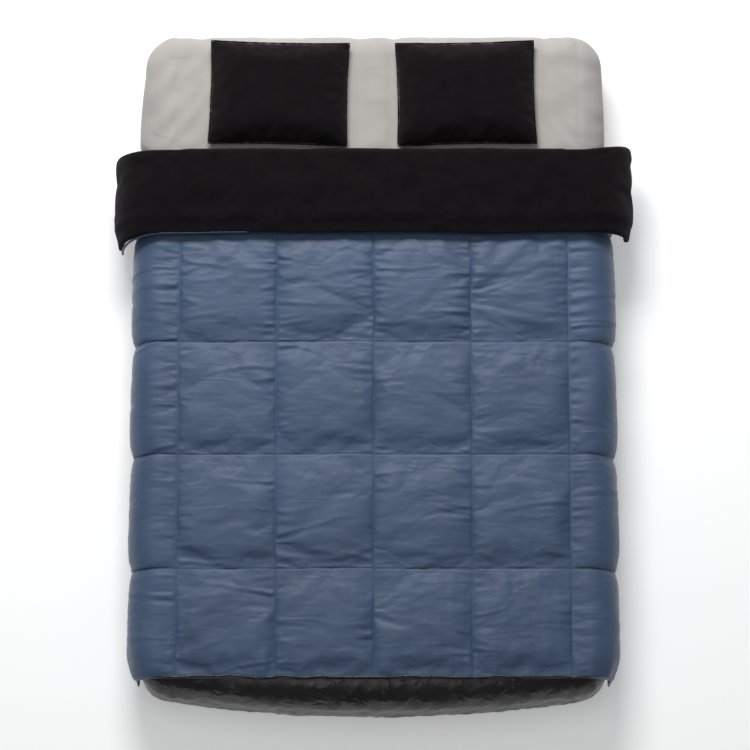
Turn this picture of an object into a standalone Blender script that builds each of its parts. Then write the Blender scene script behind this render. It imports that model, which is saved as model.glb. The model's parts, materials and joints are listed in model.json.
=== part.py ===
"""Two-person camp quilt on its fitted base, at real size.

Metres, +Z up, the floor at Z = 0. +X is the sleepers' left to right, +Y points to the head end.
The base is an airbed in a fitted cover. Its light sheet is the sleeping side, its foot end is dark.
The quilt is sewn to the foot of the cover and zipped low down both sides. Its head end is turned
back as a cuff, so that the fleece lining shows. Two pillows lie on the sheet above the cuff.
"""

from math import cos, pi, radians, sin

import bmesh
import bpy
from mathutils import Matrix, Vector

# ---------------------------------------------------------------- driving sizes: the base
BASE_W = 1.50  # across the fitted cover
BASE_L = 2.24  # head to foot, at the middle of the bowed foot end
SHEET_TOP = 0.220  # height of the sheet that the sleepers lie on
EDGE_R = 0.080  # rounding from the top of the base to its sides
CORNER_R = 0.100  # rounding of the corners, seen from above
FOOT_TURN = radians(8.5)  # how far the bowed foot edge has turned at its corners
SIDE_LEAD = 0.020  # straight ends of the head and foot panels, along the sides

GAP = 0.0003  # between pieces that touch
SEAM_AIR = 0.0008  # between a flat panel's edge and the wall that it is sewn to
CLOTH = 0.0015  # sheet, lining and shell fabrics
PVC = 0.0020  # airbed skins and beams

BEAMS = 5  # internal beams along the airbed
BEAM_PITCH = 0.240
BEAM_END = 0.170  # clear of each end of the airbed, for the air to pass

VALVE_X = 0.450
VALVE_Z = 0.070
VALVE_R = 0.030
VALVE_BORE_R = 0.022
VALVE_DEPTH = 0.034
VALVE_FLOOR = 0.006
CAP_AIR = 0.0006
CAP_THICK = 0.014
CAP_GRIP = 0.0035

HEM_LOW = 0.002
HEM_TOP = 0.016
HEM_PROUD = 0.0042  # how far the side hem stands out from the cover

# ---------------------------------------------------------------- driving sizes: the quilt
SEAM_PITCH = 0.315  # between the lengthwise seams, one of them on the middle
FOOT_LAP = 0.090  # from the foot of the base to the quilt's foot seam
SHEET_SHOWN = 0.430  # from the head of the base to where the quilt turns back
FILL_SEAM = 0.006  # fill left under a seam
FILL_CROWN = 0.028  # fill at the middle of a channel
BINDING = 0.0015
BINDING_W = 0.012

CUFF_L = 0.270  # the turned-back part, lengthwise
CUFF_FILL = 0.022
CUFF_STAND = 0.038  # the cuff's ends stand this far off the zipped quilt's sides
CUFF_EASE = 0.003  # how much wider the cuff bends than the quilt under it
CUFF_DROP = 0.045  # straight part of the cuff's ends, below their curve

# ---------------------------------------------------------------- driving sizes: the pillows
PILLOW_W = 0.450
PILLOW_L = 0.346
PILLOW_SPREAD = 0.305  # from the middle of the bed to the middle of a pillow
PILLOW_CLEAR = 0.038  # from the turned edge of the quilt to the pillows
PILLOW_UP = 0.058  # crown above the edge seam
PILLOW_DOWN = 0.024  # belly below the edge seam
PILLOW_EDGE = 0.0015  # half thickness of the filling at the seam
PILLOW_BOW = 0.020  # how far the sides pull in between the corners
PILLOW_FLAT = 1.3  # how much of the belly is pressed flat on the sheet

# ---------------------------------------------------------------- driving sizes: the zips
ZIP_OUT = 0.0049  # middle of the zip tape, out from the cover's side
TAPE_T = 0.0008
TAPE_H = 0.015
TAPE_LAP = 0.004  # how far the tape laps the hem that it is sewn to
COIL_H = 0.0040
COIL_T = 0.0030
COIL_SLOT = 0.0016  # between the two coils, for the slider's wedge
ZIP_END = 0.030  # from the ends of the side panels to the ends of the zip
STOP_L = 0.004
SLIDER_BACK = 0.030  # from the quilt's turned edge to the middle of the slider
SLIDER_L = 0.017
SLIDER_H = 0.0125
SLIDER_PLATE = 0.0014
SLIDER_AIR = 0.0005  # between the slider's plates and the coil
WEDGE_T = 0.0009
WEDGE_L = 0.008
PULL_L = 0.040
PULL_W = 0.0080
PULL_T = 0.0020
PIN_R = 0.0009
EYE_AIR = 0.0004
EYE_WALL = 0.0013
LUG_T = 0.0014

# ---------------------------------------------------------------- worked-out sizes
HALF_W = BASE_W / 2
HEAD_Y = BASE_L / 2
FOOT_Y = -BASE_L / 2
CORNER_X = HALF_W - CORNER_R
BOW_X = CORNER_X + CORNER_R * sin(FOOT_TURN)  # where the foot's bow meets its corner
BOW_R = BOW_X / sin(FOOT_TURN)
BOW_Y = FOOT_Y + BOW_R
HEAD_CORNER_Y = HEAD_Y - CORNER_R
FOOT_CORNER_Y = BOW_Y - (BOW_R - CORNER_R) * cos(FOOT_TURN)
SIDE_HEAD = HEAD_CORNER_Y - SIDE_LEAD
SIDE_FOOT = FOOT_CORNER_Y + SIDE_LEAD
WALL_BOTTOM = CLOTH + GAP

AIR_INSET = CLOTH + GAP  # the airbed's side, in from the cover's
AIR_TOP = SHEET_TOP - CLOTH - GAP
AIR_BOTTOM = WALL_BOTTOM
AIR_R = EDGE_R - AIR_INSET
BAND_BOTTOM = AIR_BOTTOM + PVC + GAP
BAND_TOP = AIR_TOP

ZIP_X = HALF_W + ZIP_OUT
ZIP_HEAD = SIDE_HEAD - ZIP_END
ZIP_FOOT = SIDE_FOOT + ZIP_END
COIL_BASE = HEM_TOP - TAPE_LAP + TAPE_H  # top of the cover's tape
COIL_MID = COIL_BASE + COIL_H + COIL_SLOT / 2
COIL_UPPER = COIL_MID + COIL_SLOT / 2
QUILT_TAPE_TOP = COIL_UPPER + COIL_H + TAPE_H
QUILT_HEM = QUILT_TAPE_TOP + GAP + BINDING + GAP

QUILT_FOOT = FOOT_Y + FOOT_LAP
QUILT_HEAD = HEAD_Y - SHEET_SHOWN
FOOT_HINGE = QUILT_FOOT - GAP - BINDING  # the foot seam, at the outer edge of the quilt's foot binding
QUILT_HALF = HALF_W + GAP
QUILT_UNDER = SHEET_TOP + GAP
QUILT_R = EDGE_R + GAP
FILL_IN = CLOTH + GAP
QUILT_THICK = FILL_IN + FILL_CROWN + GAP + CLOTH
SEAM_THICK = FILL_IN + FILL_SEAM + GAP + CLOTH
CUFF_UNDER = QUILT_UNDER + QUILT_THICK + GAP
CUFF_HALF = QUILT_HALF + QUILT_THICK + CUFF_STAND
CUFF_R = QUILT_R + QUILT_THICK + CUFF_EASE
CUFF_THICK = FILL_IN + CUFF_FILL + GAP + CLOTH
CUFF_HEM = CUFF_UNDER - CUFF_R - CUFF_DROP

PILLOW_Y = QUILT_HEAD + PILLOW_CLEAR + PILLOW_L / 2
PILLOW_SEAM = SHEET_TOP + GAP + CLOTH + GAP + PILLOW_DOWN + PILLOW_EDGE
SLIDER_Y = QUILT_HEAD - SLIDER_BACK

ARC_STEPS = 8
BOW_STEPS = 16
LAYER_STEP = 0.0225  # between the points of a quilt layer's section
PILLOW_CUTS = 9

COLOURS = {
    "airbed": ((0.10, 0.13, 0.17), 0.75, 0.0),
    "valve": ((0.03, 0.03, 0.03), 0.45, 0.0),
    "sheet": ((0.52, 0.50, 0.47), 0.85, 0.0),
    "taffeta": ((0.02, 0.02, 0.022), 0.45, 0.0),
    "shell": ((0.085, 0.13, 0.21), 0.45, 0.0),
    "filling": ((0.80, 0.80, 0.78), 0.95, 0.0),
    "fleece": ((0.012, 0.010, 0.011), 0.95, 0.0),
    "zip": ((0.02, 0.02, 0.022), 0.60, 0.0),
    "slider": ((0.16, 0.16, 0.17), 0.40, 1.0),
}


# ---------------------------------------------------------------- scene helpers
def clear_scene():
    for old in list(bpy.data.objects):
        bpy.data.objects.remove(old)


def make_materials():
    made = {}
    for name, (colour, roughness, metallic) in COLOURS.items():
        material = bpy.data.materials.new(name)
        material.use_nodes = True
        shader = material.node_tree.nodes["Principled BSDF"]
        shader.inputs["Base Color"].default_value = (*colour, 1.0)
        shader.inputs["Roughness"].default_value = roughness
        shader.inputs["Metallic"].default_value = metallic
        made[name] = material
    return made


def make_collection(name):
    made = bpy.data.collections.new(name)
    bpy.context.scene.collection.children.link(made)
    return made


clear_scene()
MATERIALS = make_materials()
PARTS = make_collection("camp_quilt")
CUTTERS = make_collection("cutters")


def move_to(obj, collection):
    for owner in list(obj.users_collection):
        owner.objects.unlink(obj)
    collection.objects.link(obj)
    return obj


def keep(obj, material):
    """Puts a finished piece in the object's collection, with its material."""
    move_to(obj, PARTS)
    obj.data.materials.clear()
    obj.data.materials.append(MATERIALS[material])
    return obj


def helper(obj):
    """Marks a cutter or a guide, which is no part of the object."""
    move_to(obj, CUTTERS)
    obj.hide_render = True
    obj.display_type = "WIRE"
    return obj


def new_object(name, data):
    obj = bpy.data.objects.new(name, data)
    bpy.context.scene.collection.objects.link(obj)
    return obj


def pivot(name, place):
    """An empty on a joint's axis, which the moving pieces are parented to."""
    empty = new_object(name, None)
    move_to(empty, PARTS)
    empty.location = place
    return empty


def hang_on(empty, *pieces):
    for piece in pieces:
        piece.parent = empty
        piece.matrix_parent_inverse = Matrix.Translation(empty.location).inverted()


# ---------------------------------------------------------------- shape helpers
def poly_curve(name, points, cyclic):
    data = bpy.data.curves.new(name, "CURVE")
    data.dimensions = "2D"
    spline = data.splines.new("POLY")
    spline.points.add(len(points) - 1)
    for point, (x, y) in zip(spline.points, points):
        point.co = (x, y, 0.0, 1.0)
    spline.use_cyclic_u = cyclic
    return new_object(name, data)


def flat_piece(name, outline, low, high, material):
    """A flat panel: its outline seen from above, from one height to another."""
    obj = poly_curve(name, outline, True)
    obj.data.fill_mode = "BOTH"
    obj.data.extrude = (high - low) / 2
    obj.location.z = (low + high) / 2
    return keep(obj, material)


def long_piece(name, section, start, end, material):
    """A piece with one section, of (x, z) points, all along Y."""
    obj = poly_curve(name, section, True)
    obj.data.fill_mode = "BOTH"
    obj.data.extrude = (end - start) / 2
    obj.rotation_euler = (pi / 2, 0, 0)
    obj.location.y = (start + end) / 2
    return keep(obj, material)


def mesh_object(name, made):
    data = bpy.data.meshes.new(name)
    made.to_mesh(data)
    made.free()
    return new_object(name, data)


def box(name, low, high):
    made = bmesh.new()
    bmesh.ops.create_cube(made, size=1.0)
    size = Vector(high) - Vector(low)
    middle = (Vector(high) + Vector(low)) / 2
    place = Matrix.Translation(middle) @ Matrix.Diagonal((*size, 1.0))
    bmesh.ops.transform(made, verts=made.verts, matrix=place)
    return mesh_object(name, made)


def cylinder(name, radius, centre, axis, length, steps=32):
    """A round bar about its centre, along Y or Z."""
    turn = Matrix.Rotation(pi / 2, 4, "X") if axis == "Y" else Matrix.Identity(4)
    made = bmesh.new()
    bmesh.ops.create_cone(
        made, cap_ends=True, segments=steps, radius1=radius, radius2=radius, depth=length
    )
    bmesh.ops.transform(made, verts=made.verts, matrix=Matrix.Translation(centre) @ turn)
    obj = mesh_object(name, made)
    obj.data.shade_smooth()
    obj.data.set_sharp_from_angle(angle=radians(40))
    return obj


def boolean(obj, other, operation):
    step = obj.modifiers.new(other.name, "BOOLEAN")
    step.operation = operation
    step.solver = "EXACT"
    step.object = helper(other)
    return obj


def sweep(name, path, section, material, cyclic=False):
    """A closed section of (outward, z) points, carried along a path seen from above."""
    profile = poly_curve(name + "_section", [(-out, z) for out, z in section], True)
    rail = poly_curve(name + "_path", path, cyclic)
    rail.data.bevel_mode = "OBJECT"
    rail.data.bevel_object = profile
    rail.data.use_fill_caps = True
    bpy.context.view_layer.update()
    graph = bpy.context.evaluated_depsgraph_get()
    data = bpy.data.meshes.new_from_object(rail.evaluated_get(graph))
    made = bmesh.new()
    made.from_mesh(data)
    bmesh.ops.remove_doubles(made, verts=made.verts, dist=1e-6)
    bmesh.ops.recalc_face_normals(made, faces=made.faces)
    made.to_mesh(data)
    made.free()
    bpy.data.objects.remove(rail)
    bpy.data.objects.remove(profile)
    return keep(new_object(name, data), material)


def arc(centre, radius, start, end, steps=ARC_STEPS):
    angles = (start + (end - start) * i / steps for i in range(steps + 1))
    return [(centre[0] + radius * cos(a), centre[1] + radius * sin(a)) for a in angles]


# ---------------------------------------------------------------- the base seen from above
def head_edge(inset=0.0):
    """From the left side, round the head end, to the right side."""
    radius = CORNER_R - inset
    left = arc((-CORNER_X, HEAD_CORNER_Y), radius, pi, pi / 2)
    right = arc((CORNER_X, HEAD_CORNER_Y), radius, pi / 2, 0)
    return left + right


def foot_edge(inset=0.0):
    """From the right side, round the bowed foot end, to the left side."""
    radius = CORNER_R - inset
    right = arc((CORNER_X, FOOT_CORNER_Y), radius, 0, FOOT_TURN - pi / 2)
    bow = arc((0, BOW_Y), BOW_R - inset, FOOT_TURN - pi / 2, -FOOT_TURN - pi / 2, BOW_STEPS)
    left = arc((-CORNER_X, FOOT_CORNER_Y), radius, -FOOT_TURN - pi / 2, -pi)
    return right + bow[1:-1] + left


def whole_edge(inset=0.0):
    return head_edge(inset) + foot_edge(inset)


def wall_section(inset, radius, low, top, thick):
    """An upright wall that rounds over at its top, as (outward, z) points."""
    turn = top - radius
    inner_out = -inset - radius
    outside = arc((inner_out, turn), radius, 0, pi / 2)
    inside = arc((inner_out, turn), radius - thick, pi / 2, 0)
    return [(-inset, low), *outside, *inside, (-inset - thick, low)]


# ---------------------------------------------------------------- the fitted cover
def make_cover():
    wall = wall_section(0.0, EDGE_R, WALL_BOTTOM, SHEET_TOP, CLOTH)
    head_path = [(-HALF_W, SIDE_HEAD), *head_edge(), (HALF_W, SIDE_HEAD)]
    foot_path = [(HALF_W, SIDE_FOOT), *foot_edge(), (-HALF_W, SIDE_FOOT)]
    flat_piece("under_panel", whole_edge(), 0.0, CLOTH, "taffeta")
    flat_piece("sheet_top", whole_edge(EDGE_R + SEAM_AIR), SHEET_TOP - CLOTH, SHEET_TOP, "sheet")
    head = sweep("sheet_head_panel", head_path, wall, "sheet")
    hole = cylinder("valve_hole", VALVE_R + GAP, (VALVE_X, HEAD_Y, VALVE_Z), "Y", 4 * VALVE_DEPTH)
    boolean(head, hole, "DIFFERENCE")
    sweep("foot_end_panel", foot_path, wall, "taffeta")
    for side, name in ((-1, "left"), (1, "right")):
        section = [(side * (HALF_W + out), z) for out, z in wall]
        long_piece(f"sheet_{name}_panel", section, SIDE_FOOT + GAP, SIDE_HEAD - GAP, "sheet")
        inner = side * (HALF_W + GAP)
        outer = side * (HALF_W + HEM_PROUD)
        hem = [(inner, HEM_LOW), (outer, HEM_LOW), (outer, HEM_TOP), (inner, HEM_TOP)]
        long_piece(f"cover_{name}_hem", hem, SIDE_FOOT, SIDE_HEAD, "taffeta")
    return hole


# ---------------------------------------------------------------- the airbed inside the cover
def make_airbed(hole):
    flat_piece("airbed_top", whole_edge(EDGE_R + SEAM_AIR), AIR_TOP - PVC, AIR_TOP, "airbed")
    flat_piece("airbed_bottom", whole_edge(AIR_INSET), AIR_BOTTOM, AIR_BOTTOM + PVC, "airbed")
    band_wall = wall_section(AIR_INSET, AIR_R, BAND_BOTTOM, BAND_TOP, PVC)
    band = sweep("airbed_band", whole_edge(), band_wall, "airbed", cyclic=True)
    boolean(band, hole, "DIFFERENCE")
    for index in range(BEAMS):
        x = (index - (BEAMS - 1) / 2) * BEAM_PITCH
        low = (x - PVC / 2, FOOT_Y + BEAM_END, AIR_BOTTOM + PVC + GAP)
        high = (x + PVC / 2, HEAD_Y - BEAM_END, AIR_TOP - PVC - GAP)
        keep(box(f"airbed_beam_{index + 1}", low, high), "airbed")


def make_valve():
    """A cup set flush in the airbed's head wall, and the plug that closes it."""
    mouth = HEAD_Y - GAP
    back = mouth - VALVE_DEPTH
    middle = (mouth + back) / 2
    body = cylinder("valve_body", VALVE_R, (VALVE_X, middle, VALVE_Z), "Y", VALVE_DEPTH, 48)
    bore_length = VALVE_DEPTH - VALVE_FLOOR
    bore_y = back + VALVE_FLOOR + bore_length
    bore = cylinder("valve_bore", VALVE_BORE_R, (VALVE_X, bore_y, VALVE_Z), "Y", 2 * bore_length, 48)
    keep(boolean(body, bore, "DIFFERENCE"), "valve")
    cap_back = back + VALVE_FLOOR + GAP
    cap_y = cap_back + CAP_THICK / 2
    cap_r = VALVE_BORE_R - CAP_AIR
    cap = cylinder("valve_cap", cap_r, (0, 0, 0), "Y", CAP_THICK, 48)
    grip_end = mouth - cap_y
    grip = box("cap_grip", (-0.7 * cap_r, 0, -CAP_GRIP / 2), (0.7 * cap_r, grip_end, CAP_GRIP / 2))
    grip.location = (VALVE_X, cap_y, VALVE_Z)
    cap.location = (VALVE_X, cap_y, VALVE_Z)
    keep(boolean(cap, grip, "UNION"), "valve")


# ---------------------------------------------------------------- the quilt
def drape_line(half, under, radius, low):
    """The under side of a layer that lies over the base, right hem to left hem.

    Gives points, outward directions and the distance from the middle along the cloth. The bends
    turn in the same steps as the base's own edges, so that the facets lie side by side.
    """
    top = half - radius
    side = under - radius - low
    top_steps = round(top / LAYER_STEP)
    side_steps = max(round(side / LAYER_STEP), 1)
    turns = [pi / 2 * index / ARC_STEPS for index in range(ARC_STEPS + 1)]
    half_line = []
    for index in range(top_steps):
        far = top * index / top_steps
        half_line.append((Vector((far, under)), Vector((0, 1)), far))
    for turn in turns:
        outward = Vector((sin(turn), cos(turn)))
        half_line.append((Vector((top, under - radius)) + radius * outward, outward, top + radius * turn))
    bend_end = top + radius * pi / 2
    for index in range(1, side_steps + 1):
        drop = side * index / side_steps
        half_line.append((Vector((half, under - radius - drop)), Vector((1, 0)), bend_end + drop))
    mirrored = [
        (Vector((-point.x, point.y)), Vector((-outward.x, outward.y)), -run)
        for point, outward, run in half_line[1:]
    ]
    return half_line[::-1] + mirrored


def layer(name, line, inner, outer, start, end, material):
    """One layer of cloth or filling, between two offsets from the drape line."""
    under = [tuple(point + outward * inner(run)) for point, outward, run in line]
    over = [tuple(point + outward * outer(run)) for point, outward, run in line]
    return long_piece(name, under + over[::-1], start, end, material)


def puffed(run):
    """The filling's thickness over the channels: thin at each seam, full between two seams."""
    return FILL_SEAM + (FILL_CROWN - FILL_SEAM) * abs(sin(pi * run / SEAM_PITCH)) ** 0.6


def make_quilt():
    line = drape_line(QUILT_HALF, QUILT_UNDER, QUILT_R, QUILT_HEM)
    start = QUILT_FOOT
    end = QUILT_HEAD
    lining = layer("quilt_lining", line, lambda s: 0.0, lambda s: CLOTH, start, end, "fleece")
    filling = layer(
        "quilt_filling", line, lambda s: FILL_IN, lambda s: FILL_IN + puffed(s), start, end, "filling"
    )
    shell = layer(
        "quilt_shell",
        line,
        lambda s: FILL_IN + puffed(s) + GAP,
        lambda s: FILL_IN + puffed(s) + GAP + CLOTH,
        start,
        end,
        "shell",
    )
    foot = layer(
        "quilt_foot_binding",
        line,
        lambda s: 0.0,
        lambda s: SEAM_THICK,
        FOOT_HINGE,
        FOOT_HINGE + BINDING,
        "taffeta",
    )
    pieces = [lining, filling, shell, foot]
    for side, name in ((-1, "left"), (1, "right")):
        xs = (side * QUILT_HALF, side * (QUILT_HALF + BINDING_W))
        low = (min(xs), start, QUILT_TAPE_TOP + GAP)
        high = (max(xs), end, QUILT_TAPE_TOP + GAP + BINDING)
        pieces.append(keep(box(f"quilt_{name}_binding", low, high), "shell"))
        pieces.append(zip_strip(f"quilt_{name}_zip_tape", side, TAPE_T, COIL_UPPER + COIL_H, TAPE_H, end))
        pieces.append(zip_strip(f"quilt_{name}_zip_coil", side, COIL_T, COIL_UPPER, COIL_H - GAP, end))
    hang_on(pivot("quilt_hinge", (0, FOOT_HINGE, QUILT_UNDER)), *pieces)


def make_cuff():
    line = drape_line(CUFF_HALF, CUFF_UNDER, CUFF_R, CUFF_HEM)
    start = QUILT_HEAD - CUFF_L
    end = QUILT_HEAD
    shell = layer("cuff_shell", line, lambda s: 0.0, lambda s: CLOTH, start, end, "shell")
    filling = layer(
        "cuff_filling", line, lambda s: FILL_IN, lambda s: FILL_IN + CUFF_FILL, start, end, "filling"
    )
    fleece = layer(
        "cuff_fleece", line, lambda s: CUFF_THICK - CLOTH, lambda s: CUFF_THICK, start, end, "fleece"
    )
    binding = layer(
        "cuff_binding",
        line,
        lambda s: 0.0,
        lambda s: CUFF_THICK,
        start - GAP - BINDING,
        start - GAP,
        "shell",
    )
    hang_on(pivot("cuff_hinge", (0, QUILT_HEAD, CUFF_UNDER)), shell, filling, fleece, binding)


# ---------------------------------------------------------------- the zips
def zip_strip(name, side, thick, low, height, head):
    xs = (side * ZIP_X - thick / 2, side * ZIP_X + thick / 2)
    return keep(box(name, (xs[0], ZIP_FOOT, low), (xs[1], head, low + height)), "zip")


def make_base_zip(side, name):
    tape_low = COIL_BASE - TAPE_H
    zip_strip(f"base_{name}_zip_tape", side, TAPE_T, tape_low, TAPE_H, ZIP_HEAD)
    zip_strip(f"base_{name}_zip_coil", side, COIL_T, COIL_BASE + GAP, COIL_H - GAP, ZIP_HEAD)
    ends = (("head", ZIP_HEAD + GAP), ("foot", ZIP_FOOT - GAP - STOP_L))
    for end, y in ends:
        low = (side * ZIP_X - COIL_T / 2, y, COIL_BASE - COIL_H)
        high = (side * ZIP_X + COIL_T / 2, y + STOP_L, COIL_BASE + COIL_H)
        keep(box(f"base_{name}_zip_{end}_stop", low, high), "slider")


def make_slider(side, name):
    """Two plates with a wedge between the coils, and two lugs that hold the pull's pin."""
    plate_in = COIL_T / 2 + SLIDER_AIR
    plate_out = plate_in + SLIDER_PLATE
    pin_out = plate_out + EYE_AIR + EYE_WALL + EYE_AIR + PIN_R
    half_l = SLIDER_L / 2
    half_h = SLIDER_H / 2
    lug_low = PULL_W / 2 + EYE_AIR

    def part(label, out_low, out_high, length, z_low, z_high):
        xs = sorted((side * out_low, side * out_high))
        made = box(f"{name}_{label}", (xs[0], -length / 2, z_low), (xs[1], length / 2, z_high))
        made.location = (side * ZIP_X, SLIDER_Y, COIL_MID)
        return made

    slider = part("zip_slider", plate_in, plate_out, 2 * half_l, -half_h, half_h)
    boolean(slider, part("back_plate", -plate_out, -plate_in, SLIDER_L, -half_h, half_h), "UNION")
    boolean(slider, part("wedge", -plate_in, plate_in, WEDGE_L, -WEDGE_T / 2, WEDGE_T / 2), "UNION")
    lug_out = pin_out + PIN_R + EYE_AIR
    lug_l = 2 * (PIN_R + EYE_WALL)
    boolean(slider, part("lower_lug", plate_out, lug_out, lug_l, -lug_low - LUG_T, -lug_low), "UNION")
    boolean(slider, part("upper_lug", plate_out, lug_out, lug_l, lug_low, lug_low + LUG_T), "UNION")
    pin_length = 2 * lug_low + LUG_T
    pin = cylinder(f"{name}_pin", PIN_R, (side * pin_out, 0, 0), "Z", pin_length, 24)
    pin.location = slider.location
    boolean(slider, pin, "UNION")
    keep(slider, "slider")
    return side * (ZIP_X + pin_out)


def make_pull(side, name, pin_x):
    """A flat tab with an eye round the slider's pin. At rest it lies along the zip, to the foot."""
    eye_r = PIN_R + EYE_AIR + EYE_WALL
    place = (pin_x, SLIDER_Y, COIL_MID)
    pull = box(
        f"{name}_zip_pull", (-PULL_T / 2, -PULL_L, -PULL_W / 2), (PULL_T / 2, 0, PULL_W / 2)
    )
    eye = cylinder(f"{name}_eye", eye_r, (0, 0, 0), "Z", PULL_W, 24)
    hole = cylinder(f"{name}_eye_hole", PIN_R + EYE_AIR, (0, 0, 0), "Z", 2 * PULL_W, 24)
    for piece in (pull, eye, hole):
        piece.location = place
    boolean(pull, eye, "UNION")
    boolean(pull, hole, "DIFFERENCE")
    keep(pull, "slider")


# ---------------------------------------------------------------- the pillows
def swell(u, v):
    """How full the pillow is at a place, from 0 at its edge seam to 1 in the middle."""
    return ((1 - u ** 4) * (1 - v ** 4)) ** 0.75


def plan(u, v):
    """Where a place on the pillow lies, seen from above: the sides pull in between the corners."""
    x = (PILLOW_W / 2 - PILLOW_BOW / 2 * (1 - v * v)) * u
    y = (PILLOW_L / 2 - PILLOW_BOW / 2 * (1 - u * u)) * v
    return x, y


def pillow_form(hand=0, air=0.0):
    """The whole pillow, or only its upper (+1) or lower (-1) face, a little way off the filling."""
    made = bmesh.new()
    bmesh.ops.create_cube(made, size=2.0)
    bmesh.ops.subdivide_edges(made, edges=made.edges, cuts=PILLOW_CUTS, use_grid_fill=True)
    if hand:
        others = [face for face in made.faces if face.calc_center_median().z * hand < 1 - 1e-5]
        bmesh.ops.delete(made, geom=others, context="FACES")
    for vert in made.verts:
        u, v, w = vert.co
        full = swell(u, v)
        belly = PILLOW_DOWN * min(1.0, PILLOW_FLAT * full)
        reach = PILLOW_UP * full if w > 0 else belly
        vert.co = (*plan(u, v), w * (PILLOW_EDGE + air + reach))
    return made


def make_pillow(name, place):
    filling = keep(mesh_object(f"{name}_pillow_filling", pillow_form()), "filling")
    filling.data.shade_smooth()
    filling.location = place
    for label, hand in (("front", 1), ("back", -1)):
        panel = keep(mesh_object(f"{name}_pillow_{label}", pillow_form(hand, GAP)), "fleece")
        panel.data.shade_smooth()
        panel.location = place
        cloth = panel.modifiers.new("cloth", "SOLIDIFY")
        cloth.thickness = CLOTH
        cloth.offset = 1.0


# ---------------------------------------------------------------- the whole object
valve_hole = make_cover()
make_airbed(valve_hole)
make_valve()
make_quilt()
make_cuff()
for hand, hand_name in ((-1, "left"), (1, "right")):
    make_base_zip(hand, hand_name)
    make_pull(hand, hand_name, make_slider(hand, hand_name))
    make_pillow(hand_name, (hand * PILLOW_SPREAD, PILLOW_Y, PILLOW_SEAM))
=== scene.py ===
# %% [markdown]
# # A camp quilt for two, on its fitted base
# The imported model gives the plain, working shapes: an airbed in a fitted cover, a quilt that is sewn to
# the foot and zipped down both sides, its head end turned back as a cuff, and two loose pillows.
# This lesson dresses that frame in cloth. Hard little pieces keep their own shape and get a finish,
# and every soft piece is made again: sewn, stuffed, left to settle, and then given its weave.

# %% Load the frame
import json
from math import asin, cos, pi, radians, sin

import bpy
import numpy as np
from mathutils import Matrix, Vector


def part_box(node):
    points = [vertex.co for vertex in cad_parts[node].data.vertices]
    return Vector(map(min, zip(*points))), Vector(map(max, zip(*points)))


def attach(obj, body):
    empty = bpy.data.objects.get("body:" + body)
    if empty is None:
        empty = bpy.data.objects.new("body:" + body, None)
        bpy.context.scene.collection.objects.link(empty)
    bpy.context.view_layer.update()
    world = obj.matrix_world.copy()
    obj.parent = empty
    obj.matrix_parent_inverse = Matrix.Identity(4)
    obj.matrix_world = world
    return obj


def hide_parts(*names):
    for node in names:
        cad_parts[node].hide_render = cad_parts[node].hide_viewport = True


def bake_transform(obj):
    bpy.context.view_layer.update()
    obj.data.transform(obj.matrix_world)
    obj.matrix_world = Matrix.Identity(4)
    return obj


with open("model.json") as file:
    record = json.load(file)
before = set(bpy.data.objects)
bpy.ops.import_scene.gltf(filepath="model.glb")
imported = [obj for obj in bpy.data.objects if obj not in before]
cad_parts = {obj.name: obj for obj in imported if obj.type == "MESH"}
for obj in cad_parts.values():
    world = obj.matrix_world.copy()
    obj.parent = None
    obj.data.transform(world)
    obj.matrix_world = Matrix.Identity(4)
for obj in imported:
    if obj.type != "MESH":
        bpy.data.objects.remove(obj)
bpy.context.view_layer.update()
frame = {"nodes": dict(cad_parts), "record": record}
nodes = frame["nodes"]

# %% [markdown]
# ## The camera
# A bed this wide is seen best from high above its foot, through a long lens, so that its sides stay
# parallel. The lens follows from the distance and from the width that the picture takes in.
# A shift would do the same as a tilt, but it would slide in other views, so it stays at zero.

# %% Camera
VIEW_TILT = radians(13.0)  # off straight down, towards the foot
VIEW_DISTANCE = 12.0
VIEW_WIDTH = 2.452  # what the picture takes in, at the bed
VIEW_AIM = Vector((0.004, -0.009, 0.083))

camera = bpy.data.objects.new("camera", bpy.data.cameras.new("camera"))
bpy.context.scene.collection.objects.link(camera)
camera.data.sensor_width = 36.0
camera.data.lens = camera.data.sensor_width * VIEW_DISTANCE / VIEW_WIDTH
camera.data.clip_end = 60.0
camera.location = VIEW_AIM + VIEW_DISTANCE * Vector((0, -sin(VIEW_TILT), cos(VIEW_TILT)))
camera.rotation_euler = (VIEW_TILT, 0, 0)
bpy.context.scene.camera = camera
bpy.context.scene.view_settings.view_transform = "Standard"
print("lens:", round(camera.data.lens, 1), "mm")

# %% [markdown]
# ## Sizes read from the frame
# Every soft piece is fitted to the solid that it stands for, so its sizes come from that solid's box.
# Only what a box can't tell, such as a bend's radius or the pitch of the quilting, is named here.

# %% Sizes
under_low, under_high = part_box("under_panel")
sheet_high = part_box("sheet_top")[1]
lining_low, lining_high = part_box("quilt_lining")
cuff_low, cuff_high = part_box("cuff_shell")

HALF_W = under_high.x
HEAD_Y = under_high.y
FOOT_Y = under_low.y
SHEET_Z = sheet_high.z
EDGE_R = 0.080  # from the top of the bed to its sides
CORNER_R = 0.100  # seen from above
FOOT_TURN = radians(8.5)  # how far the bowed foot edge has turned at its corners

QUILT_FOOT = lining_low.y
QUILT_HEAD = lining_high.y
QUILT_HEM = lining_low.z
LINING_THICK = 0.0015
QUILT_HALF = lining_high.x - LINING_THICK
QUILT_Z = lining_high.z - LINING_THICK
QUILT_R = EDGE_R + QUILT_HALF - HALF_W
SEAM_PITCH = 0.315
ROW_PITCH = 0.372
ROW_SHIFT = 0.018  # how much shorter the row at the foot is
print("bed", round(2 * HALF_W, 3), "by", round(HEAD_Y - FOOT_Y, 3), "quilt from", round(QUILT_FOOT, 3))

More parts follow.
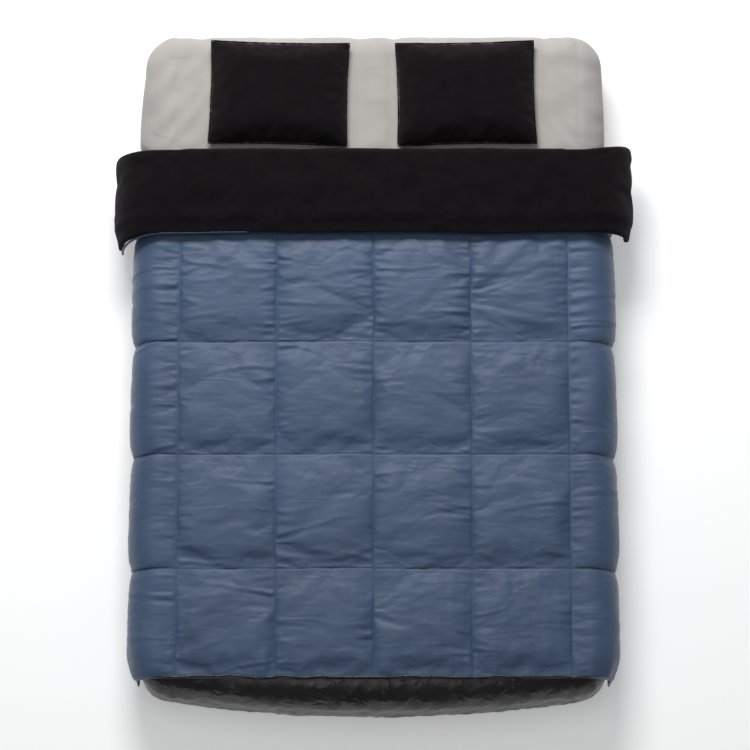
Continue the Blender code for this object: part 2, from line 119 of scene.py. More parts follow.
# %% [markdown]
# ## Small helpers
# Cloth is easiest to think of as a grid: rows along the bed and columns round it. A grid of points is a
# numpy array, and one helper turns it into a mesh. Wrinkles are sums of a few smooth random waves.
# They are made from a seeded generator, so that the cloth creases in the same way each time.

# %% Mesh helpers
def link(obj):
    bpy.context.scene.collection.objects.link(obj)
    return obj


def mesh_piece(name, points, faces):
    data = bpy.data.meshes.new(name)
    places = np.asarray(points, float).reshape(-1, 3).tolist()
    data.from_pydata(places, [], [list(map(int, face)) for face in faces])
    data.validate()
    data.shade_smooth()
    return link(bpy.data.objects.new(name, data))


def grid_index(grid):
    """The vertex numbers of a grid of points, in the grid's own rows and columns."""
    return np.arange(grid.shape[0] * grid.shape[1]).reshape(grid.shape[:2])


def grid_faces(index):
    """Quads over a 2-D array of vertex numbers, facing up where columns run to +X and rows to +Y."""
    return np.stack([index[:-1, :-1], index[:-1, 1:], index[1:, 1:], index[1:, :-1]], -1).reshape(-1, 4)


def wrapped_faces(index):
    """The same, where the last row joins on to the first."""
    return grid_faces(np.vstack([index, index[:1]]))


def tube_faces(index, ring=False):
    """Faces round a tube whose rings are the rows of index. Its ends are capped, or joined in a ring."""
    if ring:
        return wrapped_faces(np.vstack([index, index[:1]]).T)[:, ::-1]
    return [*wrapped_faces(index.T)[:, ::-1], tuple(index[0])[::-1], tuple(index[-1])]


def grid_piece(name, grid):
    return mesh_piece(name, grid, grid_faces(grid_index(grid)))


def subdivide(obj):
    step = obj.modifiers.new("smooth", "SUBSURF")
    step.levels = 1
    step.render_levels = 1
    return obj


# %% Line and wave helpers
def stations(knots, cell):
    """Places along a line that pass through every knot, about a cell apart."""
    places = []
    for start, end in zip(knots, knots[1:]):
        count = max(2, round(abs(end - start) / cell))
        places += [start + (end - start) * i / count for i in range(count)]
    return np.array([*places, knots[-1]])


def far_along(line):
    """How far along a line each of its points is."""
    return np.concatenate([[0], np.cumsum(np.linalg.norm(np.diff(line, axis=0), axis=1))])


def waves(x, y, seed, length, stretch=(1.0, 1.0), turn=0.0, count=14):
    """Smooth random waves of about one wavelength, in the range of -1 to 1."""
    rng = np.random.default_rng(seed)
    across = (x * cos(turn) + y * sin(turn)) / stretch[0]
    along = (-x * sin(turn) + y * cos(turn)) / stretch[1]
    total = np.zeros_like(x, dtype=float)
    for _ in range(count):
        angle = rng.uniform(0, 2 * pi)
        rate = 2 * pi / (length * rng.uniform(0.7, 1.6))
        total += np.sin(rate * (across * cos(angle) + along * sin(angle)) + rng.uniform(0, 2 * pi))
    return total / count ** 0.5 / 1.6


def ramp(value, start, end):
    """0 before start, 1 after end, and an easy curve between them."""
    t = np.clip((value - start) / (end - start), 0, 1)
    return t * t * (3 - 2 * t)


def ridge(distance, width):
    """A smooth ridge, 1 at its crest."""
    return np.exp(-((distance / width) ** 2))


# %% [markdown]
# ## Finishes shared by several cloths
# Woven cloth, brushed pile and soft creases turn up in more than one material, so each is a node group
# with its own inputs. A group puts out only values that vary over the cloth. The shader stays outside.

# %% Node helpers
def add_node(tree, kind, inputs=None, **settings):
    """Adds a node. Each of its inputs is given a plain value, or a socket to link from."""
    node = tree.nodes.new(kind)
    for name, value in settings.items():
        setattr(node, name, value)
    for name, value in (inputs or {}).items():
        if isinstance(value, bpy.types.NodeSocket):
            tree.links.new(value, node.inputs[name])
        else:
            node.inputs[name].default_value = value
    return node


def new_group(name, inputs, outputs):
    """A shader group with float sockets. Gives its tree and the sockets that its inputs come in by."""
    tree = bpy.data.node_groups.new(name, "ShaderNodeTree")
    for label, value in inputs.items():
        socket = tree.interface.new_socket(name=label, in_out="INPUT", socket_type="NodeSocketFloat")
        socket.default_value = value
    for label in outputs:
        tree.interface.new_socket(name=label, in_out="OUTPUT", socket_type="NodeSocketFloat")
    return tree, add_node(tree, "NodeGroupInput").outputs


def calc(tree, operation, *values):
    return add_node(tree, "ShaderNodeMath", dict(enumerate(values)), operation=operation).outputs[0]


# %% Weave group: threads that cross, over and under
def make_weave():
    tree, given = new_group("cloth_weave", {"Threads": 900.0, "Slub": 0.4}, ("Height", "Mask"))
    place = add_node(tree, "ShaderNodeTexCoord").outputs["Object"]
    growth = {0: place, "Scale": given["Threads"]}
    grown = add_node(tree, "ShaderNodeVectorMath", growth, operation="SCALE").outputs[0]
    axes = add_node(tree, "ShaderNodeSeparateXYZ", {0: grown}).outputs
    warp = calc(tree, "SINE", calc(tree, "ADD", axes["X"], axes["Z"]))
    weft = calc(tree, "SINE", calc(tree, "ADD", axes["Y"], axes["Z"]))
    crossed = calc(tree, "MULTIPLY", calc(tree, "MULTIPLY", warp, weft), 0.5)
    slub = add_node(tree, "ShaderNodeTexNoise", {"Vector": place, "Scale": 240.0, "Detail": 3.0})
    height = calc(tree, "ADD", crossed, calc(tree, "MULTIPLY", slub.outputs[0], given["Slub"]))
    add_node(tree, "NodeGroupOutput", {"Height": height, "Mask": calc(tree, "ADD", crossed, 0.5)})
    return tree


WEAVE = make_weave()


# %% Pile group: the short fuzz of fleece, brushed into soft patches
def make_pile():
    inputs = {"Fuzz Scale": 1400.0, "Patch Scale": 26.0}
    tree, given = new_group("brushed_pile", inputs, ("Height", "Patches", "Fuzz"))
    place = add_node(tree, "ShaderNodeTexCoord").outputs["Object"]
    fine = {"Vector": place, "Scale": given["Fuzz Scale"], "Detail": 4.0, "Roughness": 0.7}
    fuzz = add_node(tree, "ShaderNodeTexNoise", fine).outputs[0]
    wide = {"Vector": place, "Scale": given["Patch Scale"], "Detail": 3.0, "Distortion": 0.6}
    patches = add_node(tree, "ShaderNodeTexNoise", wide).outputs[0]
    curls = add_node(tree, "ShaderNodeTexVoronoi", {"Vector": place, "Scale": 420.0}, feature="SMOOTH_F1")
    height = calc(tree, "ADD", fuzz, calc(tree, "MULTIPLY", curls.outputs["Distance"], 0.8))
    height = calc(tree, "ADD", height, calc(tree, "MULTIPLY", patches, 0.6))
    add_node(tree, "NodeGroupOutput", {"Height": height, "Patches": patches, "Fuzz": fuzz})
    return tree


PILE = make_pile()


# %% Crease group: the soft small rumples that packing leaves
def make_creases():
    inputs = {"Crease Scale": 14.0, "Sharpness": 1.0, "Across": 1.0}
    tree, given = new_group("soft_creases", inputs, ("Height", "Rub"))
    place = add_node(tree, "ShaderNodeTexCoord").outputs["Object"]
    axes = add_node(tree, "ShaderNodeSeparateXYZ", {0: place}).outputs
    across = calc(tree, "MULTIPLY", axes["X"], given["Across"])
    drawn = add_node(tree, "ShaderNodeCombineXYZ", {"X": across, "Y": axes["Y"], "Z": axes["Z"]}).outputs[0]
    folding = {"Vector": drawn, "Scale": given["Crease Scale"]}
    folding |= {"Detail": 4.0, "Roughness": 0.45, "Distortion": 0.8}
    fold = add_node(tree, "ShaderNodeTexNoise", folding, noise_type="RIDGED_MULTIFRACTAL").outputs[0]
    rub = add_node(tree, "ShaderNodeTexNoise", {"Vector": place, "Scale": 5.0, "Detail": 6.0}).outputs[0]
    height = calc(tree, "MULTIPLY", fold, given["Sharpness"])
    add_node(tree, "NodeGroupOutput", {"Height": height, "Rub": rub})
    return tree


CREASES = make_creases()
print("groups:", WEAVE.name, PILE.name, CREASES.name)

# %% [markdown]
# ## The materials
# Each material mixes two shades of its own colour by a mask, so that no face is one flat colour. Sheen,
# coat and the like are the same all over and are set on the shader itself.

# %% Material helpers
def start_material(name, **shader_values):
    material = bpy.data.materials.new(name)
    material.use_nodes = True
    shader = material.node_tree.nodes["Principled BSDF"]
    for label, value in shader_values.items():
        shader.inputs[label.replace("_", " ")].default_value = value
    return material, material.node_tree, shader


def mix_colours(tree, mask, dark, light):
    share = add_node(tree, "ShaderNodeMapRange", {"Value": mask, "From Min": 0.3, "From Max": 0.7})
    mixing = {"A": (*dark, 1.0), "B": (*light, 1.0), "Factor": share.outputs["Result"]}
    return add_node(tree, "ShaderNodeMix", mixing, data_type="RGBA").outputs["Result"]


MASKS = {WEAVE: "Mask", PILE: "Patches", CREASES: "Rub"}


def cloth_finish(name, dark, light, *patterns, roughness, **shader_values):
    """Two shades, mixed by the first pattern's mask, under bumps, the widest first.

    A pattern is a group, its inputs, and how high each of its outputs stands as a bump.
    Roughness is one value, or a pair that the mask varies it between.
    """
    material, tree, shader = start_material(name, **shader_values)
    placed = [add_node(tree, "ShaderNodeGroup", inputs, node_tree=group) for group, inputs, _ in patterns]
    mask = placed[0].outputs[MASKS[patterns[0][0]]]
    tree.links.new(mix_colours(tree, mask, dark, light), shader.inputs["Base Color"])
    if isinstance(roughness, tuple):
        span = {"Value": mask, "To Min": roughness[0], "To Max": roughness[1]}
        varied = add_node(tree, "ShaderNodeMapRange", span).outputs["Result"]
        tree.links.new(varied, shader.inputs["Roughness"])
    else:
        shader.inputs["Roughness"].default_value = roughness
    stack = {}
    for node, (_, _, bumps) in zip(placed, patterns):
        for label, distance in bumps.items():
            stack |= {"Height": node.outputs[label], "Distance": distance, "Strength": 1.0}
            stack["Normal"] = add_node(tree, "ShaderNodeBump", stack).outputs["Normal"]
    tree.links.new(stack["Normal"], shader.inputs["Normal"])
    return material


FINISH = {}

# %% Quilt shell: a satin polyester with a soft shine
FINISH["shell"] = cloth_finish(
    "satin_shell",
    (0.047, 0.081, 0.150),
    (0.063, 0.105, 0.190),
    (CREASES, {"Crease Scale": 34.0, "Across": 0.22}, {"Height": 0.0015}),
    (WEAVE, {"Threads": 5200.0, "Slub": 0.5}, {"Height": 0.00006}),
    roughness=(0.44, 0.62),
    Specular_IOR_Level=0.42,
    Sheen_Weight=0.25,
    Sheen_Roughness=0.4,
)

# %% Fleece: a dark brushed knit
FINISH["fleece"] = cloth_finish(
    "dark_fleece",
    (0.0024, 0.0016, 0.0021),
    (0.0046, 0.0034, 0.0042),
    (PILE, {"Fuzz Scale": 1300.0, "Patch Scale": 24.0}, {"Patches": 0.0020, "Height": 0.0006}),
    roughness=0.95,
    Specular_IOR_Level=0.15,
    Sheen_Weight=0.045,
    Sheen_Roughness=0.55,
    Sheen_Tint=(1.0, 0.78, 0.93, 1.0),
)

# %% Sheet: a light brushed polyester
FINISH["sheet"] = cloth_finish(
    "light_sheet",
    (0.405, 0.383, 0.362),
    (0.450, 0.428, 0.406),
    (CREASES, {"Crease Scale": 20.0, "Across": 0.30}, {"Height": 0.0013}),
    (WEAVE, {"Threads": 3800.0, "Slub": 0.7}, {"Height": 0.00010}),
    roughness=0.85,
    Specular_IOR_Level=0.25,
    Sheen_Weight=0.15,
    Sheen_Roughness=0.5,
)

# %% Taffeta: the calendered cloth of the foot end, dark and glossy
FINISH["taffeta"] = cloth_finish(
    "dark_taffeta",
    (0.0060, 0.0052, 0.0056),
    (0.0100, 0.0088, 0.0094),
    (CREASES, {"Crease Scale": 30.0, "Sharpness": 1.2}, {"Height": 0.0036}),
    (WEAVE, {"Threads": 4200.0, "Slub": 0.6}, {"Height": 0.00008}),
    roughness=(0.22, 0.42),
    Specular_IOR_Level=0.5,
)

# %% The airbed's coated film, faintly mottled
FINISH["airbed"] = cloth_finish(
    "coated_film",
    (0.080, 0.105, 0.140),
    (0.110, 0.140, 0.180),
    (CREASES, {"Crease Scale": 6.0, "Sharpness": 0.6}, {"Height": 0.0008}),
    roughness=0.6,
)

# %% Matt moulded plastic with a fine spark texture
FINISH["valve"] = cloth_finish(
    "moulded_plastic",
    (0.022, 0.022, 0.024),
    (0.034, 0.034, 0.036),
    (PILE, {"Fuzz Scale": 2600.0, "Patch Scale": 90.0}, {"Fuzz": 0.00005}),
    roughness=0.5,
)

# %% Woven zip tape, dark, with the ribs of its weave showing
FINISH["zip"] = cloth_finish(
    "zip_tape",
    (0.010, 0.010, 0.011),
    (0.026, 0.026, 0.028),
    (WEAVE, {"Threads": 2400.0, "Slub": 0.5}, {"Height": 0.00025}),
    roughness=0.7,
    Sheen_Weight=0.1,
)

# %% Painted slider metal, worn brighter in patches
FINISH["slider"] = cloth_finish(
    "slider_metal",
    (0.10, 0.10, 0.105),
    (0.26, 0.26, 0.27),
    (PILE, {"Fuzz Scale": 900.0, "Patch Scale": 160.0}, {"Fuzz": 0.00004}),
    roughness=0.38,
    Metallic=1.0,
)

# %% Matt sewing thread, a shade darker than the shell
THREAD = cloth_finish(
    "sewing_thread",
    (0.010, 0.016, 0.034),
    (0.020, 0.030, 0.058),
    (PILE, {"Fuzz Scale": 3000.0, "Patch Scale": 60.0}, {"Fuzz": 0.00004}),
    roughness=0.75,
)

# %% Dressing a piece
def dress(obj, slot, *more):
    """Gives a piece its finishes. The first is also the record's slot that it stands for."""
    obj.data.materials.clear()
    for name in (slot, *more):
        obj.data.materials.append(FINISH[name])
    return obj


def fit(piece, slots, body, stands_for=()):
    """Dresses a piece, sets it on its body, and lets it stand for the CAD nodes in its place."""
    dress(piece, *slots)
    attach(piece, body)
    if stands_for:
        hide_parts(*stands_for)
    return piece


for part in frame["record"]["subparts"]:
    if part["material_slot"] in FINISH:
        materials = nodes[part["node"]].data.materials
        materials.clear()
        materials.append(FINISH[part["material_slot"]])
print("finishes:", ", ".join(FINISH))

# %% [markdown]
# ## The bed seen from above
# The fitted cover's outline is straight down both sides, rounded at the corners, and bowed at the foot.
# It is walked once, as four stretches that meet in the middle of the corners, so that the top can be a
# plain grid stretched between them while the walls hang from the same points.

# %% Outline of the bed
BED_COLUMNS = 150
BED_ROWS = 150
SEAM_ROWS = 3  # rows beyond the foot seam
SEAM_UNDER = 0.014  # how far the seam of the two cloths lies under the quilt
BOW_X = HALF_W - CORNER_R + CORNER_R * sin(FOOT_TURN)
BOW_R = BOW_X / sin(FOOT_TURN)
BOW_Y = FOOT_Y + BOW_R
HEAD_CORNER = Vector((HALF_W - CORNER_R, HEAD_Y - CORNER_R))
FOOT_CORNER = Vector((HALF_W - CORNER_R, BOW_Y - (BOW_R - CORNER_R) * cos(FOOT_TURN)))


def arc(centre, radius, start, end, steps=24):
    turns = np.linspace(start, end, steps + 1)
    points = np.stack([centre[0] + radius * np.cos(turns), centre[1] + radius * np.sin(turns)], -1)
    return points, np.stack([np.cos(turns), np.sin(turns)], -1)


def stretch_of(pieces, count):
    """Joins (points, outward directions) pieces and spaces count + 1 places evenly along them."""
    points = np.concatenate([p for p, _ in pieces])
    outward = np.concatenate([o for _, o in pieces])
    far = far_along(points)
    keep = np.concatenate([[True], np.diff(far) > 1e-9])
    want = np.linspace(0, far[-1], count + 1)
    spaced = [np.interp(want, far[keep], values[keep]) for values in (*points.T, *outward.T)]
    place, way = np.stack(spaced[:2], -1), np.stack(spaced[2:], -1)
    return place, way / np.linalg.norm(way, axis=1, keepdims=True)


def mirrored(stretch):
    place, way = stretch
    return place * (-1, 1), way * (-1, 1)


def backwards(stretch):
    place, way = stretch
    return place[::-1], way[::-1]


middle_foot = (FOOT_TURN - pi / 2) / 2
foot_half = arc(FOOT_CORNER, CORNER_R, FOOT_TURN - pi / 2, middle_foot)
head_half = arc(HEAD_CORNER, CORNER_R, pi / 4, pi / 2)
foot_bow = arc((0, BOW_Y), BOW_R, -FOOT_TURN - pi / 2, FOOT_TURN - pi / 2)
seam_turn = asin((QUILT_FOOT + SEAM_UNDER - FOOT_CORNER.y) / CORNER_R)
side_low = stretch_of([arc(FOOT_CORNER, CORNER_R, middle_foot, seam_turn)], SEAM_ROWS)
side_parts = [arc(FOOT_CORNER, CORNER_R, seam_turn, 0), arc(HEAD_CORNER, CORNER_R, 0, pi / 4)]
side_high = stretch_of(side_parts, BED_ROWS - SEAM_ROWS)
right_edge = tuple(np.concatenate([low, high[1:]]) for low, high in zip(side_low, side_high))
left_edge = mirrored(right_edge)
head_edge = stretch_of([mirrored(head_half), backwards(head_half)], BED_COLUMNS)
foot_edge = stretch_of([mirrored(backwards(foot_half)), foot_bow, foot_half], BED_COLUMNS)
print("outline places:", 2 * (BED_ROWS + BED_COLUMNS))

# %% [markdown]
# ## The fitted cover
# The cover is one skin in two cloths. A flat box with Bevel would give its form, but not its rumples,
# so it is a fine grid over the top, and rings of points that roll over the edge and run down the walls.
# The points are then nudged along their own outward direction: long soft waves from the airbed below,
# slanting pulls near the pillows, a fold line that packing left, and gathers along the foot seam.

# %% The cover's skin
def inset(edge, distance):
    place, way = edge
    return place - way * distance


def stretched_between(foot, head, left, right):
    """A grid of points between four edges (a Coons patch)."""
    u = np.linspace(0, 1, len(foot))[None, :, None]
    v = np.linspace(0, 1, len(left))[:, None, None]
    across = (1 - v) * foot[None] + v * head[None]
    along = (1 - u) * left[:, None] + u * right[:, None]
    low = (1 - u) * foot[0] + u * foot[-1]
    high = (1 - u) * head[0] + u * head[-1]
    return across + along - ((1 - v) * low + v * high)


def bed_plan(distance):
    """The bed's top seen from above, its edges moved in by a distance, with a row on the foot seam."""
    foot, head, left, right = (inset(e, distance) for e in (foot_edge, head_edge, left_edge, right_edge))
    share = np.linspace(-1, 1, BED_COLUMNS + 1)
    ends = left[SEAM_ROWS], right[SEAM_ROWS]
    seam_x = ends[0][0] + (ends[1][0] - ends[0][0]) * (share + 1) / 2
    seam_y = QUILT_FOOT + SEAM_UNDER + (ends[1][1] - QUILT_FOOT - SEAM_UNDER) * share**8
    seam = np.stack([seam_x, seam_y], -1)
    beyond = stretched_between(foot, seam, left[: SEAM_ROWS + 1], right[: SEAM_ROWS + 1])
    main = stretched_between(seam, head, left[SEAM_ROWS:], right[SEAM_ROWS:])
    return np.concatenate([beyond[:-1], main])


def loop_of(foot, right, head, left):
    """Joins values along the four edges into one ring, counter-clockwise from the left foot corner."""
    return np.concatenate([foot[:-1], right[:-1], head[:0:-1], left[:0:-1]])


WALL_LOW = under_high.z - 0.0004
profile = [(0.0, z) for z in np.linspace(WALL_LOW, SHEET_Z - EDGE_R, 11)]
profile += [
    (EDGE_R * (1 - cos(turn)), SHEET_Z - EDGE_R * (1 - sin(turn)))
    for turn in np.linspace(0, pi / 2, 10)[1:-1]
]
top_plan = bed_plan(EDGE_R)
rows, columns = top_plan.shape[:2]
top_index = grid_index(top_plan)
ring_top = loop_of(top_index[0], top_index[:, -1], top_index[-1], top_index[:, 0])
ring_place, ring_way = (loop_of(*ends) for ends in zip(foot_edge, right_edge, head_edge, left_edge))
row_numbers = np.repeat(np.arange(rows)[:, None], columns, 1)
ring_row = loop_of(row_numbers[0], row_numbers[:, -1], row_numbers[-1], row_numbers[:, 0])
ring_size = len(ring_top)

points = [np.concatenate([top_plan, np.full((rows, columns, 1), SHEET_Z)], -1).reshape(-1, 3)]
ways = [np.tile((0.0, 0.0, 1.0), (rows * columns, 1))]
for depth, height in reversed(profile):
    plan = ring_place - ring_way * depth
    lean = min(1.0, max(0.0, (EDGE_R - depth) / EDGE_R))
    rise = (1 - lean * lean) ** 0.5 if height > SHEET_Z - EDGE_R else 0.0
    points.append(np.column_stack([plan, np.full(ring_size, height)]))
    ways.append(np.column_stack([ring_way * lean, np.full(ring_size, rise)]))
skin = np.concatenate(points)
skin_way = np.concatenate(ways)
rings = rows * columns + np.arange(len(profile) * ring_size).reshape(-1, ring_size)
wall_faces = wrapped_faces(np.vstack([ring_top, rings]).T)
faces = np.concatenate([grid_faces(top_index), wall_faces])
wall_rows = np.repeat(np.minimum(ring_row, np.roll(ring_row, -1)), len(profile))
face_row = np.concatenate([row_numbers[:-1, :-1].ravel(), wall_rows])
print("cover skin:", len(skin), "points,", len(faces), "quads")


# %% The cover's rumples
LEFT_SEAM, RIGHT_SEAM = -0.648, 0.672  # the sheet's long seams
x, y, z = skin.T
shown = ramp(y, QUILT_HEAD + 0.010, QUILT_HEAD + 0.050)
slack = 0.0032 * waves(x, y, 11, 0.34) + 0.0014 * waves(x, y, 12, 0.10)
channels = -0.0100 * (ridge(x + 0.048, 0.026) + ridge(x - 0.066, 0.020) + 0.6 * ridge(abs(x) - 0.565, 0.025))
left_pull = 0.0040 * waves(x, y + z, 13, 0.050, (1.0, 3.6), radians(-38)) * ramp(-x, 0.42, 0.60)
right_pull = 0.0028 * waves(x, y + z, 14, 0.045, (1.0, 3.2), radians(42)) * ramp(x, 0.46, 0.62)
middle_pull = 0.0017 * waves(x, y, 15, 0.055, (1.0, 3.0), radians(8)) * ridge(x, 0.16)
fold_line = 0.0042 * ridge(y - 0.890 - 0.012 * np.sin(5 * x), 0.009)
fold_line = fold_line * ramp(x, -0.10, 0.02) * ramp(-x, -0.66, -0.56)
curl_x = 0.556 + 1.44 * np.clip(0.87 - y, 0, 1) ** 1.4
curl_line = 0.0038 * ridge(x - curl_x, 0.009) * ramp(y, 0.72, 0.78) * ramp(-y, -0.90, -0.86)
head_gather = 0.0018 * waves(x, z, 16, 0.040, (1.0, 5.0)) * ramp(y, HEAD_Y - 0.10, HEAD_Y - 0.03)
side_seams = -0.0022 * (ridge(x - LEFT_SEAM, 0.008) + ridge(x - RIGHT_SEAM, 0.008)) * ramp(z, 0.18, 0.21)
seam_near = ridge(x - LEFT_SEAM, 0.022) + 1.6 * ridge(x - RIGHT_SEAM, 0.028)
pucker = 0.0010 * waves(y, x, 17, 0.018, (1.0, 4.0)) * seam_near
pulls = left_pull + right_pull + middle_pull
sheet_rise = 0.0050 + slack + channels + pulls + fold_line + curl_line + head_gather + side_seams + pucker
foot_near = QUILT_FOOT - y
gather = 0.0042 * waves(x, foot_near - z, 21, 0.034, (1.0, 3.4)) * ramp(-foot_near, -0.20, 0.0)
slanted = 1 - 2 * abs(waves(x, y - z, 23, 0.060, (1.0, 2.6), radians(24)))
foot_slack = 0.0036 * waves(x, y + z, 22, 0.13, (1.6, 1.0)) + 0.0022 * slanted
foot_rise = (gather + foot_slack) * ramp(foot_near, 0.004, 0.030)
is_foot = ramp(-y, -QUILT_FOOT - 0.03, -QUILT_FOOT)
quilted_over = (1 - shown) * (1 - is_foot)
rise = 0.0012 + sheet_rise * shown + foot_rise * is_foot - 0.0018 * quilted_over
lowest = -0.0009
highest = 0.0048 + 0.0085 * shown * ramp(z, 0.15, 0.21) + 0.0050 * is_foot * ramp(foot_near, 0.004, 0.030)
middle_rise, half_range = (highest + lowest) / 2, (highest - lowest) / 2
rise = middle_rise + half_range * np.tanh((rise - middle_rise) / half_range)
pillow_low, pillow_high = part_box("right_pillow_front")
pillow_x, pillow_y = (pillow_low.x + pillow_high.x) / 2, (pillow_low.y + pillow_high.y) / 2
under_pillow = ramp(-abs(abs(x) - pillow_x), -0.21, -0.16) * ramp(-abs(y - pillow_y), -0.16, -0.11)
rise = rise * (1 - under_pillow * ramp(z, 0.215, 0.219))
skin = skin + skin_way * rise[:, None]
full_side = 0.016 * ramp(-y, -1.05, -0.80) * ramp(y, 0.700, 0.750)
full_side = full_side * ramp(z, 0.040, 0.085) * ramp(-z, -0.24, -0.17)
skin[:, 0] += full_side * np.where(x < 0, -1.0, 0.4) * ramp(abs(x), HALF_W - 0.05, HALF_W - 0.01)

# %% Room for the valve in the head wall
valve_low, valve_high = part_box("valve_body")
VALVE_R = (valve_high.x - valve_low.x) / 2
valve_x, valve_z = (valve_low.x + valve_high.x) / 2, (valve_low.z + valve_high.z) / 2
from_valve = np.hypot(skin[:, 0] - valve_x, skin[:, 2] - valve_z)
from_valve[skin[:, 1] < HEAD_Y - 0.03] = 1.0
open_face = (from_valve[faces] < VALVE_R).any(1)
rim = np.unique(faces[open_face])
rim = rim[from_valve[rim] >= VALVE_R]
grow = (VALVE_R + 0.0012) / from_valve[rim]
skin[rim, 0] = valve_x + (skin[rim, 0] - valve_x) * grow
skin[rim, 2] = valve_z + (skin[rim, 2] - valve_z) * grow
print("valve opening: removed", int(open_face.sum()), "quads, rim of", len(rim))


# %% The two cloths of the cover
def part_of_skin(name, chosen):
    used, renumbered = np.unique(faces[chosen], return_inverse=True)
    return mesh_piece(name, skin[used], renumbered.reshape(-1, 4))


sheet_cover = subdivide(part_of_skin("fitted_sheet", (face_row >= SEAM_ROWS) & ~open_face))
foot_cover = subdivide(part_of_skin("foot_end_cover", face_row < SEAM_ROWS))
sheet_nodes = ("sheet_top", "sheet_head_panel", "sheet_left_panel", "sheet_right_panel")
fit(sheet_cover, ["sheet"], "base", sheet_nodes)
fit(foot_cover, ["taffeta"], "base", ["foot_end_panel"])

# %% [markdown]
# ## Letting cloth settle
# A sewn panel puffs between its seams and puckers along them. Drawing that by hand never looks right.
# Blender's Cloth does it: the seams are pinned, a slight pressure stands for the filling, and the cloth
# is told that it is cut a little too large, so the spare length gathers into short creases at each seam.
# The settled mesh replaces the flat one, and the modifier goes. A cap keeps the puff near its CAD solid.

# %% Settle helper
def settle(obj, pinned, frames, pressure, spare, bending, stiffness=20.0):
    """Lets a sewn piece settle. spare is how much longer its cloth was cut, as a share."""
    group = obj.vertex_groups.new(name="sewn")
    group.add([int(i) for i in pinned], 1.0, "REPLACE")
    cloth = obj.modifiers.new("settle", "CLOTH")
    feel = {"quality": 4, "mass": 0.2, "shrink_min": -spare, "bending_stiffness": bending}
    feel |= {"tension_stiffness": stiffness, "compression_stiffness": stiffness}
    feel |= {"shear_stiffness": 0.4 * stiffness, "air_damping": 2.0}
    feel |= {"tension_damping": 10.0, "compression_damping": 10.0}
    feel |= {"use_pressure": True, "uniform_pressure_force": pressure, "vertex_group_mass": "sewn"}
    for name, value in feel.items():
        setattr(cloth.settings, name, value)
    cloth.settings.effector_weights.gravity = 0.0
    cloth.collision_settings.use_collision = False
    cloth.point_cache.frame_start = 1
    cloth.point_cache.frame_end = frames
    scene = bpy.context.scene
    for number in range(1, frames + 1):
        scene.frame_set(number)
    graph = bpy.context.evaluated_depsgraph_get()
    settled = bpy.data.meshes.new_from_object(obj.evaluated_get(graph))
    places = np.zeros(len(settled.vertices) * 3)
    settled.vertices.foreach_get("co", places)
    obj.modifiers.clear()
    obj.vertex_groups.clear()
    bpy.data.meshes.remove(settled)
    scene.frame_set(1)
    return places.reshape(-1, 3)


def settled_grid(grid, pinned, **feel):
    """A grid of points after it has settled. The piece that it settled on is thrown away."""
    layout = grid_piece("layout", grid)
    places = settle(layout, grid_index(grid)[pinned], **feel)
    bpy.data.objects.remove(layout)
    return places.reshape(grid.shape)


def drape_frame(rule, run, way):
    """The places on a drape itself, and the directions straight out of it."""
    flat_x, flat_z = rule(run, 0.0)
    over_x, over_z = rule(run, 1.0)
    outward = np.stack([over_x - flat_x, np.zeros_like(run), over_z - flat_z], -1)
    return np.stack([flat_x, way, flat_z], -1), outward


# %% [markdown]
# ## The quilt
# The quilt is laid out flat in two lengths: the run round the bed, from one side hem over the top to the
# other, and the way from foot to head. Seams cross it at even steps. A drape rule turns a run into a
# place over the bed, rolled over its edges. The outer cloth is settled, and the lining is a plain
# grid just above the sheet. The two are sewn together along the border into one closed, padded form.

# %% The quilt's layout
QUILT_CELL = 0.0105
QUILT_ROW_CELL = 0.0060  # finer the way the creases run close together
BEND = QUILT_R * pi / 2
FLAT_TOP = QUILT_HALF - QUILT_R
HALF_GIRTH = FLAT_TOP + BEND + (QUILT_Z - QUILT_R - QUILT_HEM)
run_seams = [-HALF_GIRTH, -2 * SEAM_PITCH, -SEAM_PITCH, 0.0, SEAM_PITCH, 2 * SEAM_PITCH, HALF_GIRTH]
row_seams = [QUILT_FOOT, *(QUILT_FOOT + ROW_PITCH * k - ROW_SHIFT for k in (1, 2, 3, 4)), QUILT_HEAD]


def drape(run, away, half=QUILT_HALF, top_z=QUILT_Z, radius=QUILT_R):
    """The (x, z) of a place on the drape, and its outward direction, an offset away from the bed."""
    flat = half - radius
    far = np.abs(run)
    hand = np.sign(run)
    turned = np.clip((far - flat) / radius, 0, pi / 2)
    x = np.minimum(far, flat) + (radius + away) * np.sin(turned)
    z = top_z - radius + (radius + away) * np.cos(turned) - np.maximum(far - flat - radius * pi / 2, 0)
    return hand * x, z


def hump(places, knots, lean=1.0):
    """0 at each knot and 1 between two, nearer the first one where lean is under 1."""
    knots = np.array(knots)
    cell = np.clip(np.searchsorted(knots, places, "right") - 1, 0, len(knots) - 2)
    share = (places - knots[cell]) / (knots[cell + 1] - knots[cell])
    return np.clip(np.sin(pi * np.clip(share, 0, 1) ** lean), 0, 1)


def seam_stations(seams, cell, beside=0.0034):
    """Stations with an extra place close by each side of every inner seam, for a crisp valley."""
    extra = [seam + side * beside for seam in seams[1:-1] for side in (-1, 1)]
    return np.sort(np.concatenate([stations(seams, cell), extra]))


